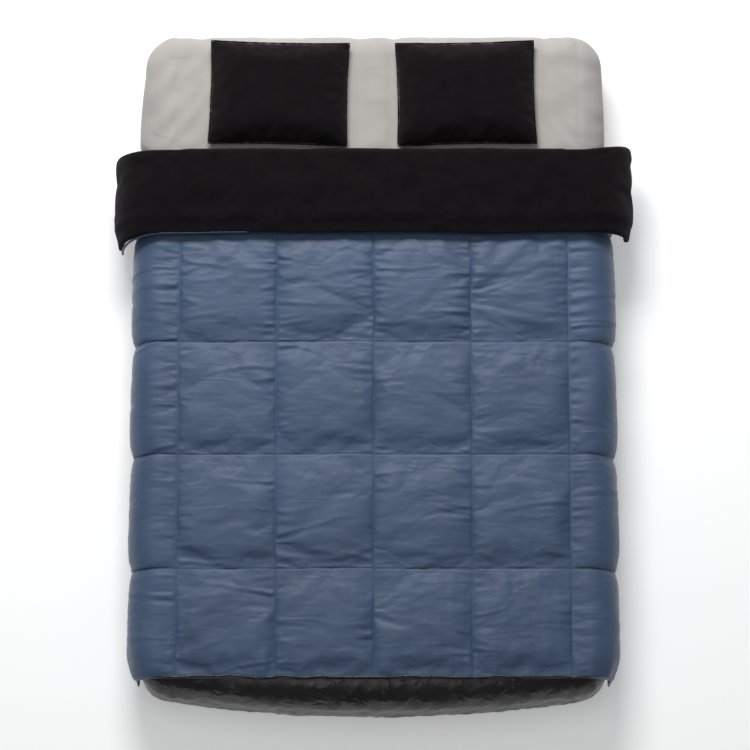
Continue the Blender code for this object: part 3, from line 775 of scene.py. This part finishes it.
runs = seam_stations(run_seams, QUILT_CELL)
ways_up = seam_stations(row_seams, QUILT_ROW_CELL, 0.0026)
run, way = np.meshgrid(runs, ways_up)
seam_columns = [int(np.argmin(abs(runs - seam))) for seam in run_seams]
seam_rows = [int(np.argmin(abs(ways_up - seam))) for seam in row_seams]
PUFF_LEAN = 0.62  # the filling slips towards the foot, and hangs over the seam there
puff = hump(run, run_seams) ** 0.34 * hump(way, row_seams, PUFF_LEAN) ** 0.46
SEAM_LIFT = 0.0075  # the outer cloth above the lining, at a seam
PUFF_LIFT = 0.0125  # how much higher it is laid out between the seams
wander = 0.0022 * waves(way, run * 0, 31, 0.30)
drift = 0.0026 * waves(run, way * 0, 32, 0.34)
border = ramp(HALF_GIRTH - abs(run), 0.0, 0.10) * ramp(way, QUILT_FOOT, QUILT_FOOT + 0.10)
grain = np.random.default_rng(33).normal(0, 0.0004, run.shape) * (puff > 0)
x, z = drape(run + wander * border, SEAM_LIFT + PUFF_LIFT * puff + grain)
FOOT_WAVE = 0.0035


def foot_wave(run):
    return FOOT_WAVE * (1 + np.clip(waves(run, run * 0, 39, 0.11), -1, 1))


y = way + drift * border + foot_wave(run) * ramp(-way, -QUILT_FOOT - 0.09, -QUILT_FOOT)
quilt_grid = np.stack([x, y, z], -1)
pinned = np.zeros(run.shape, bool)
pinned[:, seam_columns] = True
pinned[seam_rows, :] = True
quilt_flat = [round(2 * HALF_GIRTH, 3), round(QUILT_HEAD - QUILT_FOOT, 3)]
print("quilt grid:", quilt_grid.shape[:2], "flat size", quilt_flat)

# %% Settling the quilt
quilt_grid = settled_grid(quilt_grid, pinned, frames=16, pressure=0.42, spare=0.032, bending=0.04)


def soft_cap(value, start, reach):
    """Leaves values under start alone, and eases higher ones towards start + reach."""
    return np.where(value > start, start + reach * np.tanh((value - start) / reach), value)


PUFF_CAP = 0.033
CUFF_ROOM = 0.0295  # all the room there is under the cuff
base_line, outward = drape_frame(drape, run, way)
lift = ((quilt_grid - base_line) * outward).sum(-1)
under_cuff = ramp(way, cuff_low.y - 0.025, cuff_low.y + 0.015)
cap = PUFF_CAP + (CUFF_ROOM - PUFF_CAP) * under_cuff
held = soft_cap(lift, 0.6 * cap, 0.4 * cap)
held = np.maximum(held, 0.004)
smooth_lift = SEAM_LIFT + PUFF_LIFT * puff
rumple = held - smooth_lift
drawn = rumple.copy()
for _ in range(2):
    drawn[:, 2:-2] = (drawn[:, :-4] + drawn[:, 1:-3] + drawn[:, 2:-2] + drawn[:, 3:-1] + drawn[:, 4:]) / 5
held = smooth_lift + (0.62 * drawn + 0.38 * rumple) * ramp(puff, 0.0, 0.5)


def seam_creases(seed, count, tall, longest):
    """Short folds that start at the long seams and run away from them, dying out."""
    rng = np.random.default_rng(seed)
    total = np.zeros_like(run)
    for _ in range(count):
        seam = rng.choice(run_seams[1:-1])
        hand = rng.choice((-1.0, 1.0))
        start = rng.uniform(-1.0, 0.66) if rng.random() < 0.55 else rng.uniform(0.05, 0.66)
        length = longest * rng.uniform(0.25, 1.0) ** 1.3
        width = rng.uniform(0.0046, 0.0095)
        slope, bend = rng.normal(0, 0.14), rng.normal(0, 0.9)
        height = tall * rng.uniform(0.35, 1.0)
        away = hand * (run - seam)
        near = (away > -0.002) & (away < length)
        far = away[near]
        off = way[near] - start - slope * far - bend * far**2
        along = ramp(far, 0.0, 0.012) * (1 - far / length) ** 0.8
        fold = np.exp(-((off / width) ** 2)) - 0.55 * np.exp(-(((off + 1.5 * width) / width) ** 2))
        total[near] += height * along * fold
    return total


pucker = seam_creases(34, 560, 0.0040, 0.100) + seam_creases(35, 110, 0.0042, 0.280)
slant = 0.0016 * waves(run, way, 36, 0.050, (3.0, 1.0), radians(28))
slant = slant * ramp(-run, 0.50, 0.72) * ramp(way, 0.05, 0.45)
upright = 0.0012 * waves(run, way, 37, 0.045, (1.0, 3.2)) * ramp(-way, 0.30, 0.75)
gather = 0.0022 * waves(run, way, 38, 0.030, (1.0, 4.0)) * ramp(-way, 0.86, 1.02)
relief = (pucker + slant + upright + gather) * ramp(puff, 0.0, 0.35)
relief = relief * (1 - 0.75 * under_cuff)
side_fill = 0.015 * ramp(abs(run), FLAT_TOP - 0.02, FLAT_TOP + 0.9 * BEND)
side_fill = side_fill * ramp(HALF_GIRTH - abs(run), 0.0, 0.05)
side_fill = side_fill * ramp(way, QUILT_FOOT, QUILT_FOOT + 0.11) ** 0.7
quilt_grid = quilt_grid + outward * (held - lift + relief + side_fill)[..., None]
print("puff before and after the cap:", round(lift.max(), 4), round(held.max(), 4))

# %% The quilt's closed form
inner_x, inner_z = drape(run, 0.0034 - 0.0026 * puff)
inner_grid = np.stack([inner_x, way, inner_z], -1)
index = grid_index(quilt_grid)
inner_index = index + index.size
outer_faces = grid_faces(index)
faces = [*outer_faces, *grid_faces(inner_index)[:, ::-1]]
rim = np.concatenate([index[0], index[1:, -1], index[-1, -2::-1], index[-2::-1, 0]])
rim_inner = rim + index.size
faces += [*np.stack([rim[:-1], rim_inner[:-1], rim_inner[1:], rim[1:]], -1)]
quilt = mesh_piece("quilted_top", np.concatenate([quilt_grid, inner_grid]), faces)
subdivide(quilt)
fit(quilt, ["shell", "fleece"], "quilt", ["quilt_shell", "quilt_filling", "quilt_lining"])
is_lining = np.array([polygon.center.y > QUILT_HEAD - 0.001 for polygon in quilt.data.polygons], int)
is_lining[len(outer_faces) : 2 * len(outer_faces)] = 1
quilt.data.polygons.foreach_set("material_index", is_lining)
print("quilt faces:", len(quilt.data.polygons))

# %% [markdown]
# ## Stitches
# Close up, a quilted seam is a row of short stitches that lie in the valley between two puffs. Each
# stitch is a tiny six-sided bar with pulled-in ends. All of them are one mesh, because they are one
# thread. A row of stitches only needs the line that it follows.

# %% Stitch helper
STITCH = 0.0042
STITCH_STEP = 0.0075
THREAD_R = 0.00045
STITCH_RINGS = ((-0.5, 0.3), (-0.32, 1.0), (0.32, 1.0), (0.5, 0.3))
STITCH_SIDES = 6
STITCH_LEAN = (0.31, 0.17, 0.93)  # near upright, and along no stitch


def stitches(
    name, lines, slot, body, lift=0.0004, stitch=STITCH, step=STITCH_STEP, radius=THREAD_R, stands_for=()
):
    """One mesh of short bars with pulled-in ends, a step apart along each line."""
    bars = []
    turns = np.linspace(0, 2 * pi, STITCH_SIDES, endpoint=False)
    for line in map(np.asarray, lines):
        far = far_along(line)
        for middle in np.arange(step, far[-1] - step, step):
            reach = middle + np.array((-0.5, 0.5)) * stitch
            start, end = np.stack([np.interp(reach, far, values) for values in line.T], -1)
            along = (end - start) / np.linalg.norm(end - start)
            side = np.cross(along, STITCH_LEAN)
            side /= np.linalg.norm(side)
            over = np.cross(side, along)
            rim = radius * (np.outer(np.cos(turns), side) + np.outer(np.sin(turns), over))
            centre = (start + end) / 2 + over * lift
            bars.append([centre + along * share * stitch + rim * size for share, size in STITCH_RINGS])
    bar = np.arange(len(STITCH_RINGS) * STITCH_SIDES).reshape(-1, STITCH_SIDES)
    bar_faces = tube_faces(bar)
    faces = [np.add(face, bar.size * number) for number in range(len(bars)) for face in bar_faces]
    return fit(mesh_piece(name, bars, faces), [slot], body, stands_for)


column_lines = [quilt_grid[:, column] for column in seam_columns[1:-1]]
row_lines = [quilt_grid[row, :] for row in seam_rows[1:-1]]
quilt_stitches = stitches("quilt_stitches", column_lines + row_lines, "shell", "quilt")
quilt_stitches.data.materials[0] = THREAD
print("stitch faces:", len(quilt_stitches.data.polygons))

# %% [markdown]
# ## Rolled hems and piping
# An edge of cloth is never raw: it is rolled or bound into a thin soft tube. A curve with a round bevel
# makes a tube in one step, but its surface can't wobble, so the tube is a loft: a small ring is carried
# along the line, and its radius breathes a little where the stitches pull.

# %% Piping helper
def tube(name, line, radius, slot, body, seed, stands_for=(), breathe=0.12, sides=10, tall=1.0, ring=False):
    """A soft round hem along a line, its radius breathing a little; tall stretches its upright half."""
    line = np.asarray(line, float)
    along = np.gradient(line, axis=0)
    along /= np.linalg.norm(along, axis=1, keepdims=True)
    up = np.tile((0.0, 0.0, 1.0), (len(line), 1))
    up[np.abs(along[:, 2]) > 0.9] = (0.0, 1.0, 0.0)
    side = np.cross(along, up)
    side /= np.linalg.norm(side, axis=1, keepdims=True)
    over = np.cross(side, along)
    far = far_along(line)
    size = radius * (1 + breathe * waves(far, far * 0, 70 + seed, 0.016))
    if not ring:
        size[[0, -1]] = 0.4 * radius
    turns = np.linspace(0, 2 * pi, sides, endpoint=False)[None, :, None]
    rim = np.cos(turns) * side[:, None] + tall * np.sin(turns) * over[:, None]
    rings = line[:, None] + size[:, None, None] * rim
    return fit(mesh_piece(name, rings, tube_faces(grid_index(rings), ring)), [slot], body, stands_for)


HEM_R = 0.0046
HEM_LIFT = 0.0058
foot_line = np.stack([*drape(runs, HEM_LIFT), QUILT_FOOT + 0.0032 + foot_wave(runs)], -1)[:, [0, 2, 1]]
tube("quilt_foot_hem", foot_line, HEM_R, "taffeta", "quilt", 1, ["quilt_foot_binding"])
for hand, name in ((-1, "left"), (1, "right")):
    hem_x, hem_z = drape(np.full(len(ways_up), hand * HALF_GIRTH), HEM_LIFT)
    side_line = np.stack([hem_x, ways_up, hem_z], -1)
    tube(f"quilt_{name}_hem", side_line, HEM_R, "shell", "quilt", 2 + hand, [f"quilt_{name}_binding"])
print("hems done")

# %% [markdown]
# ## The turned-back cuff
# The head end of the quilt is folded over, so its fleece lining comes to the top as a wide dark band. It
# is a padded band, closed all round: fleece above, shell cloth below, thick at the fold and thin at the
# free hem. It drapes over both sides like the quilt, on a wider bend. Its left corner flares open.

# %% The cuff's layout
CUFF_CELL = 0.012
CUFF_R = EDGE_R + 0.0349  # the bend of its underside
CUFF_THICK = 0.0225
HEM_THICK = 0.011
cuff_half = cuff_high.x - LINING_THICK
cuff_z = cuff_high.z - LINING_THICK
cuff_girth = cuff_half - CUFF_R + CUFF_R * pi / 2 + (cuff_z - CUFF_R - cuff_low.z)
cuff_runs = stations([-cuff_girth, 0.0, cuff_girth], CUFF_CELL)
share_up = np.linspace(0, 1, 25)
s, u = np.meshgrid(cuff_runs, share_up)
end_share = ramp(abs(cuff_runs), cuff_girth - 0.10, cuff_girth)
round_end = 0.016 * ramp(abs(cuff_runs), cuff_girth - 0.030, cuff_girth)
flare = 0.030 * ramp(-cuff_runs, 0.66, cuff_girth)
free_hem = cuff_low.y + 0.014 - flare + round_end + 0.004 * waves(cuff_runs, cuff_runs * 0, 41, 0.42)
fold_side = 0.034 * ramp(cuff_runs, 0.68, cuff_girth - 0.04) - 0.004 * ramp(-cuff_runs, 0.50, cuff_girth)
fold_edge = cuff_high.y - 0.002 + fold_side - 0.8 * round_end
fold_edge = fold_edge + 0.002 * waves(cuff_runs, cuff_runs * 0, 42, 0.5)
cuff_y = free_hem + (fold_edge - free_hem) * u
thick_up = HEM_THICK + (CUFF_THICK - HEM_THICK) * ramp(u, 0.0, 0.22)
side_room = 0.009 * ramp(abs(s), FLAT_TOP, FLAT_TOP + 0.16)
thickness = thick_up * (1 - 0.25 * end_share) + side_room


def cuff_drape(run, away):
    return drape(run, away, cuff_half, cuff_z, CUFF_R)


cuff_x, cuff_up = cuff_drape(s, thickness + np.random.default_rng(43).normal(0, 0.0003, s.shape))
cuff_grid = np.stack([cuff_x, cuff_y, cuff_up], -1)
cuff_pins = np.zeros(s.shape, bool)
cuff_pins[[0, 3, -1], :] = True
cuff_pins[:, [0, -1]] = True
print("cuff grid:", s.shape)

# %% Settling the cuff
cuff_grid = settled_grid(cuff_grid, cuff_pins, frames=14, pressure=0.12, spare=0.022, bending=0.9)
cuff_base, cuff_out = drape_frame(cuff_drape, s, cuff_y)
lift = ((cuff_grid - cuff_base) * cuff_out).sum(-1)
held = soft_cap(np.maximum(lift, 0.006), 0.020 + side_room, 0.009)
cuff_grid = cuff_grid + cuff_out * (held - lift)[..., None]
print("cuff lift:", round(lift.min(), 4), round(lift.max(), 4), "held to", round(held.max(), 4))

# %% The cuff's closed form
def rim_rows(outer, inner, way, bulge, steps=4):
    """Rows that roll round from an outer edge to an inner one, bulging along a direction."""
    rows = []
    for step in range(1, steps):
        turn = pi * step / steps
        mix = (1 - cos(turn)) / 2
        rows.append(outer * (1 - mix) + inner * mix + way * bulge * sin(turn))
    return rows


FOLD_STEPS = 9
low_x, low_z = cuff_drape(s, 0.0005)
under_grid = np.stack([low_x, cuff_y, low_z], -1)
fold_rows = rim_rows(cuff_grid[-1], under_grid[-1], np.array((0.0, 1.0, 0.0)), 0.016, FOLD_STEPS)
hem_rows = rim_rows(under_grid[0], cuff_grid[0], np.array((0.0, -1.0, 0.0)), 0.005)
loops = np.stack([*cuff_grid, *fold_rows, *under_grid[::-1], *hem_rows])
count, length = loops.shape[:2]
index = grid_index(loops)
quads = wrapped_faces(index)
row_of = np.repeat(np.arange(count), length - 1)
upper = len(share_up)
under = upper + FOLD_STEPS - 1  # where the rows of the under side start
caps = []
for column, order in ((0, 1), (length - 1, -1)):
    outer_side = index[:upper, column]
    inner_side = index[under : under + upper, column][::-1]
    side_quads = np.stack([outer_side[:-1], outer_side[1:], inner_side[1:], inner_side[:-1]], -1)
    fold_cap = [outer_side[-1], *index[upper:under, column], inner_side[-1]]
    hem_cap = [inner_side[0], *index[under + upper :, column], outer_side[0]]
    caps += [*side_quads[:, ::order], fold_cap[::order], hem_cap[::order]]
cuff = mesh_piece("turned_back_cuff", loops, [*quads, *caps])
subdivide(cuff)
fit(cuff, ["fleece", "shell"], "cuff", ["cuff_shell", "cuff_filling", "cuff_fleece"])
is_shell = np.zeros(len(cuff.data.polygons), int)
is_shell[: len(quads)] = (row_of >= under - 1) & (row_of < under + upper - 1)
cuff.data.polygons.foreach_set("material_index", is_shell)
print("cuff faces:", len(cuff.data.polygons))

# %% The cuff's stitches and hem
stitches("cuff_stitches", [cuff_grid[3]], "fleece", "cuff")
hem_line = (under_grid[0] + cuff_grid[0]) / 2 + np.array((0, -0.0035, 0))
CUFF_HEM_R = 0.0042
tube("cuff_hem", hem_line[3:-3], CUFF_HEM_R, "fleece", "cuff", 6, ["cuff_binding"])
peek_from, peek_to = np.searchsorted(cuff_runs, (-cuff_girth + 0.02, -0.40))
peek = under_grid[0] + cuff_out[0] * 0.0030 + np.array((0, -0.0070, 0))
peek[:, 1] -= 0.010 * ramp(-cuff_runs, 0.72, cuff_girth)
tube("cuff_shell_edge", peek[peek_from:peek_to], CUFF_HEM_R, "shell", "cuff", 7)
print("shell edge shows along", peek_to - peek_from, "points")

# %% [markdown]
# ## The fold itself
# Between quilt and cuff the cloth rolls right round. That roll belongs to both: on the real quilt, when the
# cuff is unfolded, one half stays and the other swings up. Here it is its own piece, set on neither body,
# blended from the quilt to the cuff.

# %% Fold roll
ROLL_HALF = 0.70
roll_runs = stations([-ROLL_HALF, 0.0, ROLL_HALF], 0.014)
roll_low = QUILT_Z + 0.002
roll_high = cuff_z + 0.016
roll_turns = np.linspace(-pi / 2, pi / 2, 15)
reach = 0.025 * ramp(ROLL_HALF - abs(roll_runs), 0.0, 0.09) + 0.002
reach = reach + 0.0016 * waves(roll_runs, roll_runs * 0, 51, 0.16) * (reach > 0.022)
middle, half_tall = (roll_low + roll_high) / 2, (roll_high - roll_low) / 2
roll_x, _ = drape(roll_runs, 0.01)
droop = 0.012 * ramp(abs(roll_runs), 0.63, ROLL_HALF)
face_y = cuff_high.y - 0.004 + reach[:, None] * np.cos(roll_turns)[None]
pinch = 0.0018 * waves(roll_runs[:, None] + 0 * face_y, 0 * face_y + roll_turns[None] * 0.02, 52, 0.045)
face_y = face_y + pinch * np.cos(roll_turns)[None]
face_z = middle - droop[:, None] + half_tall * np.sin(roll_turns)[None]
back_y = np.stack([cuff_high.y - 0.014 + 0 * roll_runs] * 2, -1)
back_z = np.stack([middle + 0.8 * half_tall - droop, middle - 0.8 * half_tall - droop], -1)
ring_y = np.concatenate([face_y, back_y], 1)
ring_z = np.concatenate([face_z, back_z], 1)
ring_x = np.repeat(roll_x[:, None], ring_y.shape[1], 1)
rings = np.stack([ring_x, ring_y, ring_z], -1)
roll = mesh_piece("cuff_fold", rings, tube_faces(grid_index(rings)[:, ::-1]))
subdivide(roll)
dress(roll, "fleece")
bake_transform(roll)
print("fold roll:", len(rings), "rings")

# %% Seams in the sheet
def over_skin(x, start, end, step=0.01):
    """Points on the cover's skin along a line from y = start to y = end."""
    line = []
    for y in np.arange(start, end, step):
        nearest = np.argmin((skin[:, 0] - x) ** 2 + (skin[:, 1] - y) ** 2 + 0.1 * (skin[:, 2] - 0.23) ** 2)
        line.append((x, y, skin[nearest, 2]))
    return line


seam_lines = [over_skin(seam_x, QUILT_HEAD + 0.03, HEAD_Y - EDGE_R) for seam_x in (LEFT_SEAM, RIGHT_SEAM)]
stitches("sheet_stitches", seam_lines, "sheet", "base", lift=0.0006)
print("sheet seams:", [len(line) for line in seam_lines], "points")

# %% [markdown]
# ## The pillows
# A camp pillow is two squares of fleece sewn face to face and stuffed. The filling can't reach the
# corners, so they stay flat and pointed while the sides are drawn in, and short pleats run in from the
# seam. Cloth gives that: two layers joined at the edge, blown up, and held along their bowed-in seam.

# %% Pillow maker
PILLOW_CELLS = (46, 36)
PILLOW_UP = 0.060
PILLOW_DOWN = 0.026
PILLOW_SEAM_Z = 0.2476
WELT_R = 0.0024


def make_pillow(name, seed, shift, turn):
    """A pillow in its CAD solid's place, laid down a little way off it and a little askew."""
    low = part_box(f"{name}_back")[0]
    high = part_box(f"{name}_front")[1]
    centre = (low + high) / 2
    half = (high - low) / 2
    a = np.linspace(-1, 1, PILLOW_CELLS[0] + 1)
    b = np.linspace(-1, 1, PILLOW_CELLS[1] + 1)
    a, b = np.meshgrid(np.sign(a) * (1 - (1 - abs(a)) ** 1.12), np.sign(b) * (1 - (1 - abs(b)) ** 1.12))
    bow_x = 1 - 0.022 * (1 - b * b) + 0.004 * waves(b, 0 * b, seed + 5, 0.7) * (1 - b * b)
    bow_y = 1 - 0.024 * (1 - a * a) + 0.007 * waves(a, 0 * a, seed + 6, 0.8) * (1 - a * a)
    plan_x = half.x * 1.008 * a * bow_x
    plan_y = half.y * 1.015 * b * bow_y
    x = centre.x + shift[0] + plan_x * cos(turn) - plan_y * sin(turn)
    y = centre.y + shift[1] + plan_x * sin(turn) + plan_y * cos(turn)
    dome = ((1 - a**4) * (1 - b**4)) ** 0.62
    grain = np.random.default_rng(seed).normal(0, 0.0005, a.shape) * (dome > 0)
    top = np.stack([x, y, PILLOW_SEAM_Z + PILLOW_UP * dome * 0.93 + grain], -1)
    bottom = np.stack([x, y, PILLOW_SEAM_Z - PILLOW_DOWN * dome], -1)
    index = grid_index(a)
    lower = index + a.size
    edge = np.zeros(a.shape, bool)
    edge[[0, -1], :] = True
    edge[:, [0, -1]] = True
    lower[edge] = index[edge]
    faces = np.concatenate([grid_faces(index), grid_faces(lower)[:, ::-1]])
    used, faces = np.unique(faces, return_inverse=True)
    points = np.concatenate([top.reshape(-1, 3), bottom.reshape(-1, 3)])[used]
    piece = mesh_piece(f"{name}_cushion", points, faces.reshape(-1, 4))
    points = settle(piece, index[edge], frames=16, pressure=1.2, spare=0.018, bending=0.4, stiffness=26.0)
    sole, crown = 0.004, 0.012  # how near the sheet, and its highest place, it starts to flatten
    floor_z = SHEET_Z + 0.0006
    below = points[:, 2] < floor_z + sole
    points[below, 2] = floor_z + sole * np.exp((points[below, 2] - floor_z - sole) / sole)
    limit = high.z + 0.002
    above = points[:, 2] > limit - crown
    points[above, 2] = limit - crown * np.exp(-(points[above, 2] - limit + crown) / crown)
    piece.data.vertices.foreach_set("co", points.astype(np.float32).ravel())
    piece.data.update()
    subdivide(piece)
    fit(piece, ["fleece"], name, [f"{name}_{layer}" for layer in ("front", "back", "filling")])
    path = np.concatenate([index[0, :-1], index[:-1, -1], index[-1, :0:-1], index[:0:-1, 0]])
    tube(f"{name}_welt", points[path], WELT_R, "fleece", name, seed, breathe=0.25, sides=8, ring=True)
    print(name, "size", [round(float(v), 3) for v in np.ptp(points, axis=0)])


make_pillow("left_pillow", 61, (-0.006, 0.001), radians(-1.3))
make_pillow("right_pillow", 62, (-0.003, 0.001), radians(1.2))

# %% [markdown]
# ## Zips and hems
# A coil zip is a tape with a row of small teeth along its edge. The tape is woven, with a raised rib near
# the teeth where it was sewn, so it is a thin closed ribbon with a profile, not a flat strip. The teeth
# are the same small bars as the stitches, standing up between the tapes and a coil's pitch apart.

# %% Ribbon helper
TAPE_HALF = 0.0005
TAPE_RIBS = np.array([1.0, 0.6, 0.6, 1.3, 0.6, 0.6, 0.6, 0.8, 1.4])


def ribbon(name, low, high, slot, body, seed, stands_for):
    """A woven tape that stands on edge in the box from low to high."""
    levels = np.linspace(0, 1, len(TAPE_RIBS))
    way, level = np.meshgrid(stations([low.y, high.y], 0.012), levels)
    middle = (low.x + high.x) / 2 + 0.0004 * waves(way, level * 0.01, 80 + seed, 0.06)
    rib = TAPE_HALF * TAPE_RIBS[:, None]
    z = low.z + (high.z - low.z) * level
    loops = np.concatenate([np.stack([middle + rib, way, z], -1), np.stack([middle - rib, way, z], -1)[::-1]])
    piece = mesh_piece(name, loops, tube_faces(grid_index(loops)[::-1].T))
    return fit(piece, [slot], body, stands_for)


TOOTH_PITCH = 0.0025
TOOTH_REACH = 0.0024
TOOTH_SHIFT = 0.00064  # up for the quilt's row, down for the base's
TOOTH = {"lift": 0.0, "stitch": 0.0046, "step": 0.0023, "radius": 0.0008}
COVER_HEM_R = 0.0019
for hand, side in ((-1, "left"), (1, "right")):
    for part, shift in (("base", -TOOTH_SHIFT), ("quilt", TOOTH_SHIFT)):
        tape_low, tape_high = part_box(f"{part}_{side}_zip_tape")
        coil_low, coil_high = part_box(f"{part}_{side}_zip_coil")
        seed = 2 * (hand + 1) + (part == "base")
        tape_node = f"{part}_{side}_zip_tape"
        ribbon(f"{side}_{part}_tape", tape_low, tape_high, "zip", part, seed, [tape_node])
        middle_x = (tape_low.x + tape_high.x) / 2
        teeth_z = (coil_low.z + coil_high.z) / 2 + shift
        first = coil_low.y + TOOTH_PITCH / 2 * (part == "base")
        teeth = [
            [(middle_x, way, teeth_z - TOOTH_REACH), (middle_x, way, teeth_z + TOOTH_REACH)]
            for way in np.arange(first, coil_high.y, TOOTH_PITCH)
        ]
        coil_node = f"{part}_{side}_zip_coil"
        coil = stitches(f"{side}_{part}_teeth", teeth, "zip", part, **TOOTH, stands_for=[coil_node])
        print(coil.name, len(teeth), "teeth")
    hem_low, hem_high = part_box(f"cover_{side}_hem")
    hem_ways = stations([hem_low.y, hem_high.y], 0.012)
    hem_x = np.full(len(hem_ways), hand * (HALF_W + 0.0022))
    hem_mid = np.full(len(hem_ways), (hem_low.z + hem_high.z) / 2)
    hem_line = np.stack([hem_x, hem_ways, hem_mid], -1)
    hem_name = f"cover_{side}_rolled_hem"
    tube(hem_name, hem_line, COVER_HEM_R, "sheet", "base", 9 + hand, [f"cover_{side}_hem"], tall=3.4)
print("zips and hems done")

# %% Ground cloth and the valve's collar
ground_plan = bed_plan(0.0)
gx, gy = ground_plan[..., 0], ground_plan[..., 1]
ground_z = 0.0007 + 0.0004 * waves(gx, gy, 91, 0.09)
ground_grid = np.concatenate([ground_plan, ground_z[..., None]], -1)[:, ::-1]
ground = grid_piece("ground_cloth", ground_grid)
fit(ground, ["taffeta"], "base", ["under_panel"])
COLLAR_R = VALVE_R + 0.0022
COLLAR_BEAD_R = 0.0026
turns = np.linspace(0, 2 * pi, 48, endpoint=False)
collar_x, collar_z = valve_x + COLLAR_R * np.cos(turns), valve_z + COLLAR_R * np.sin(turns)
collar_line = np.stack([collar_x, np.full(len(turns), HEAD_Y + 0.0006), collar_z], -1)
tube("valve_collar", collar_line, COLLAR_BEAD_R, "sheet", "base", 12, ring=True)
print("ground cloth and collar done")

# %% [markdown]
# ## Floor and light
# The set stands on a plain pale floor, which glows a little so that it comes out white from above. One
# large soft light high above the head end gives the gentle fall-off down the bed. A weak one overhead
# and a pale surround fill the shadows.

# %% Stage and lights
FLOOR_HALF = 32.0
floor_corners = [(x * FLOOR_HALF, y * FLOOR_HALF, 0) for x, y in ((-1, -1), (1, -1), (1, 1), (-1, 1))]
floor = mesh_piece("floor", floor_corners, [(0, 1, 2, 3)])
glow = {"Emission_Color": (1, 1, 1, 1), "Emission_Strength": 0.30}
floor_material, floor_tree, floor_shader = start_material("pale_floor", Roughness=0.8, **glow)
floor_noise = add_node(floor_tree, "ShaderNodeTexNoise", {"Scale": 3.0}).outputs[0]
floor_colour = mix_colours(floor_tree, floor_noise, (0.92, 0.92, 0.92), (0.94, 0.94, 0.94))
floor_tree.links.new(floor_colour, floor_shader.inputs["Base Color"])
floor.data.materials.append(floor_material)


def soft_light(name, power, size, place, aim):
    data = bpy.data.lights.new(name, "AREA")
    data.shape = "RECTANGLE"
    data.size, data.size_y = size
    data.energy = power
    light = link(bpy.data.objects.new(name, data))
    light.location = place
    light.rotation_euler = (Vector(aim) - Vector(place)).to_track_quat("-Z", "Y").to_euler()
    return light


soft_light("head_light", 278.0, (2.8, 1.8), (-0.6, 4.1, 4.0), (0, 0.1, 0.1))
soft_light("top_light", 32.0, (3.0, 3.0), (-0.7, -0.1, 4.6), (0, 0, 0))
world = bpy.data.worlds.new("surround")
bpy.context.scene.world = world
world.use_nodes = True
surround = world.node_tree.nodes["Background"].inputs
surround["Color"].default_value = (0.95, 0.97, 1.0, 1.0)
surround["Strength"].default_value = 0.20
print("lights: 2")
